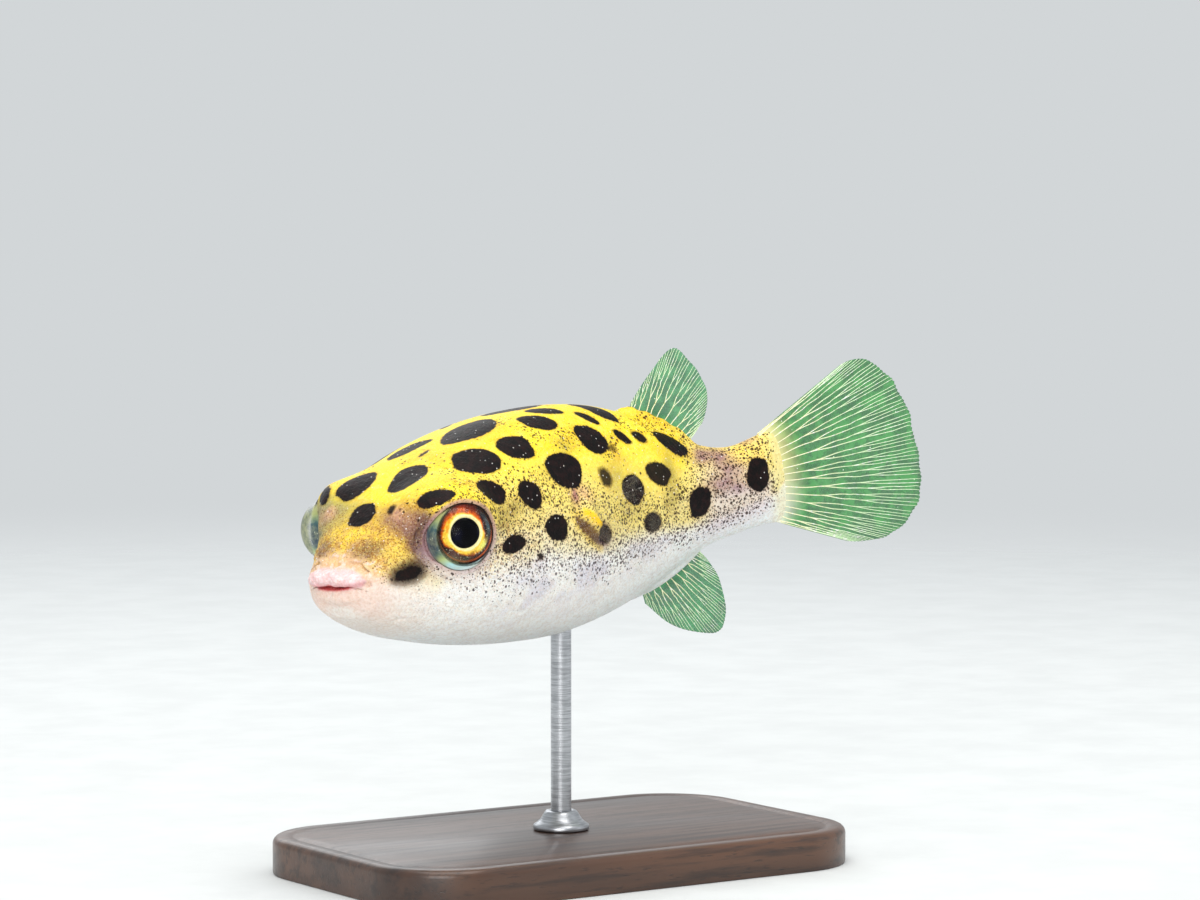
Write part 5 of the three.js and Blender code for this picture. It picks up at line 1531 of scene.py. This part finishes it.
# ------------------------------------------------------------------ the stand
def wood_material():
    t = Nodes("dark_wood")
    at = t.add("TexCoord").outputs["Object"]
    stretch = t.add("Mapping")
    t.link(at, stretch.inputs["Vector"])
    stretch.inputs["Scale"].default_value = (60, 900, 900)
    grain = t.noise(stretch.outputs[0], 1.0, 6, 0.6)
    slow = t.add("Mapping")
    t.link(at, slow.inputs["Vector"])
    slow.inputs["Scale"].default_value = (18, 160, 160)
    bands = t.noise(slow.outputs[0], 1.0, 3, 0.5)
    colour = t.mix(t.ramp(bands, 0.3, 0.7), rgba(52, 32, 22), rgba(88, 56, 36))
    colour = t.mix(t.ramp(grain, 0.48, 0.66, 0.0, 0.65), colour, rgba(30, 18, 13))
    pores = t.add("Mapping")
    t.link(at, pores.inputs["Vector"])
    pores.inputs["Scale"].default_value = (500, 3800, 3800)
    pore = t.ramp(t.noise(pores.outputs[0], 1.0, 2, 0.5), 0.60, 0.72)
    colour = t.mix(t.math("MULTIPLY", pore, 0.5), colour, rgba(22, 14, 10))
    normal = t.bump(t.math("SUBTRACT", grain, t.math("MULTIPLY", pore, 0.6)), 0.00006, 0.5)
    p = t.principled(Base_Color=colour, Roughness=t.math("ADD", 0.30, t.math("MULTIPLY", grain, 0.22)), Normal=normal)
    p.inputs["Coat Weight"].default_value = 0.3
    p.inputs["Coat Roughness"].default_value = 0.18
    t.link(p.outputs[0], t.out.inputs[0])
    return t.material


def steel_material():
    t = Nodes("brushed_steel")
    at = t.add("TexCoord").outputs["Object"]
    turned = t.add("Mapping")
    t.link(at, turned.inputs["Vector"])
    turned.inputs["Scale"].default_value = (500, 500, 9000)
    lines_ = t.noise(turned.outputs[0], 1.0, 3, 0.6)
    colour = t.mix(t.ramp(lines_, 0.3, 0.7), rgba(150, 152, 156), rgba(196, 198, 202))
    normal = t.bump(lines_, 0.00002, 0.4)
    p = t.principled(Base_Color=colour, Metallic=1.0, Roughness=t.math("ADD", 0.24, t.math("MULTIPLY", lines_, 0.16)), Normal=normal)
    t.link(p.outputs[0], t.out.inputs[0])
    return t.material


def turned_piece(name, profile, centre, material, around=64):
    """A turned shape about a vertical line: profile is (radius, height) from the bottom up."""
    pts, quads = [], []
    angles = 2 * math.pi * np.arange(around) / around
    for r, h in profile:
        pts.append(np.stack([centre[0] + r * np.cos(angles), centre[1] + r * np.sin(angles), np.full(around, h)], 1))
    for k in range(len(profile) - 1):
        for i in range(around):
            j = (i + 1) % around
            quads.append((k * around + i, k * around + j, (k + 1) * around + j, (k + 1) * around + i))
    quads.append(tuple(range(around))[::-1])
    quads.append(tuple((len(profile) - 1) * around + i for i in range(around)))
    return new_object(name, np.concatenate(pts), quads, [material])


def crisp(obj, angle=35):
    """Keeps edges sharper than the angle."""
    obj.data.set_sharp_from_angle(angle=math.radians(angle))
    return obj


steel = steel_material()
belly_at = place(31.0, 0.0, float(bottom_at(31.0)))
rod_top = belly_at[2] + 4.6
rod = crisp(turned_piece("stand_rod_steel", [(1.1, 5.6), (1.1, rod_top - 0.3), (0.8, rod_top)], belly_at, steel))
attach(rod, "root"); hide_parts("stand_rod")
z0 = 4.02
ring = [(2.8, z0), (2.95, z0 + 0.06), (3.0, z0 + 0.16), (3.0, z0 + 0.44), (2.94, z0 + 0.56), (2.62, z0 + 0.78), (2.3, z0 + 1.05), (2.05, z0 + 1.4),
        (1.86, z0 + 1.75), (1.72, z0 + 1.95), (1.60, z0 + 2.06), (1.36, z0 + 2.10), (1.13, z0 + 2.06), (1.12, z0 + 1.6)]
collar = crisp(turned_piece("stand_collar_steel", ring, belly_at, steel), 50)
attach(collar, "root"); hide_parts("stand_collar")


def plinth():
    length_, width_, thick_, corner, bevel = 58.0, 36.0, 4.0, 9.0, 0.8
    outline = []
    for cx, cy, a0 in ((1, 1, 0), (-1, 1, 90), (-1, -1, 180), (1, -1, 270)):
        for k in range(25):
            a = math.radians(a0 + 90 * k / 24)
            outline.append((cx, cy, math.cos(a), math.sin(a)))
    levels = [(bevel * (1 - math.cos(a)), bevel * (1 - math.sin(a))) for a in np.radians(np.linspace(0, 90, 6))]
    rows = [(0.25, 0.0), (0.06, 0.06), (0.0, 0.25)]
    rows += [(d, thick_ - h) for d, h in levels]
    rows += [(bevel + 0.9, thick_), (bevel + 1.25, thick_ - 0.16), (bevel + 1.6, thick_ - 0.16), (bevel + 1.95, thick_)]
    pts, quads = [], []
    n = len(outline)
    for inset, h in rows:
        for cx, cy, c, s_ in outline:
            pts.append((cx * (length_ / 2 - corner) + (corner - inset) * c, cy * (width_ / 2 - corner) + (corner - inset) * s_, h))
    for k in range(len(rows) - 1):
        for i in range(n):
            j = (i + 1) % n
            quads.append((k * n + i, k * n + j, (k + 1) * n + j, (k + 1) * n + i))
    quads.append(tuple(range(n))[::-1])
    quads.append(tuple((len(rows) - 1) * n + i for i in range(n)))
    return crisp(new_object("stand_plinth_wood", pts, quads, [wood_material()]), 40)


base = plinth()
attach(base, "root"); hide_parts("stand_base")


# ------------------------------------------------------------------ floor, light and camera
WORLD = (210, 214, 216)


def floor_material():
    t = Nodes("studio_floor")
    at = t.add("TexCoord").outputs["Object"]
    grain = t.noise(at, 90.0, 4, 0.6)
    colour = t.mix(t.ramp(grain, 0.3, 0.7), rgba(216, 218, 218), rgba(222, 224, 224))
    p = t.principled(Base_Color=colour, Roughness=0.85)
    p.inputs["Specular IOR Level"].default_value = 0.2
    away = t.add("VectorMath", operation="LENGTH")
    t.link(at, away.inputs[0])
    clear = t.add("BsdfTransparent")
    fade = t.add("MixShader")
    t.link(t.ramp(away.outputs["Value"], 0.16, 0.55), fade.inputs[0])
    t.link(p.outputs[0], fade.inputs[1])
    t.link(clear.outputs[0], fade.inputs[2])
    t.link(fade.outputs[0], t.out.inputs[0])
    return t.material


n_ = 96
disc = [(0, 0, 0)] + [(700 * math.cos(2 * math.pi * k / n_), 700 * math.sin(2 * math.pi * k / n_), 0) for k in range(n_)]
floor = new_object("studio_floor", disc, [(0, 1 + k, 1 + (k + 1) % n_) for k in range(n_)], [floor_material()], smooth_faces=False)

world = bpy.data.worlds.new("studio")
bpy.context.scene.world = world
world.use_nodes = True
background = next(n for n in world.node_tree.nodes if n.type == "BACKGROUND")
background.inputs["Color"].default_value = rgba(*WORLD)
background.inputs["Strength"].default_value = 1.0


def lamp(name, at, to, size, watts, colour=(1, 1, 1), size_y=None):
    data = bpy.data.lights.new(name, "AREA")
    data.shape = "RECTANGLE"
    data.size, data.size_y = size, size_y or size
    data.energy = watts
    data.color = colour
    obj = bpy.data.objects.new(name, data)
    obj.location = at
    obj.rotation_euler = (Vector(to) - Vector(at)).to_track_quat("-Z", "Y").to_euler()
    bpy.context.scene.collection.objects.link(obj)
    return obj


lamp("overhead_softbox", (-0.05, -0.10, 0.60), (0, 0, 0.03), 0.50, 2.5, (1, 0.985, 0.95))
lamp("key_left", (-0.45, -0.50, 0.22), (-0.01, 0, 0.035), 0.36, 2.1, (1, 0.99, 0.97))
lamp("fill_right", (0.45, -0.35, 0.22), (0, 0, 0.03), 0.40, 0.25, (0.96, 0.98, 1))
lamp("rim_back", (0.15, 0.55, 0.35), (0, 0, 0.04), 0.40, 0.8, (0.97, 0.99, 1))

azimuth, elevation = math.radians(-34.0), math.radians(3.5)
back = np.array([math.sin(azimuth) * math.cos(elevation), -math.cos(azimuth) * math.cos(elevation), math.sin(elevation)])
right = np.array([math.cos(azimuth), math.sin(azimuth), 0.0])
up = np.cross(back, right)
focal, distance = 4137.0, 420.0                             # pixels of a 1200 x 900 picture, and mm
aim = place(10.3, -8.7, 4.85)
eye = aim + back * distance - right * ((459 - 600) / focal * distance) - up * (-(535 - 450) / focal * distance)
camera_data = bpy.data.cameras.new("camera")
camera_data.sensor_fit = "HORIZONTAL"
camera_data.sensor_width = 36.0
camera_data.lens = focal * 36.0 / 1200
camera_data.clip_start, camera_data.clip_end = 0.01, 20
camera = bpy.data.objects.new("camera", camera_data)
camera.matrix_world = Matrix(((right[0], up[0], back[0], eye[0] / 1000), (right[1], up[1], back[1], eye[1] / 1000),
                              (right[2], up[2], back[2], eye[2] / 1000), (0, 0, 0, 1)))
bpy.context.scene.collection.objects.link(camera)
bpy.context.scene.camera = camera
bpy.context.scene.view_settings.view_transform = "Standard"
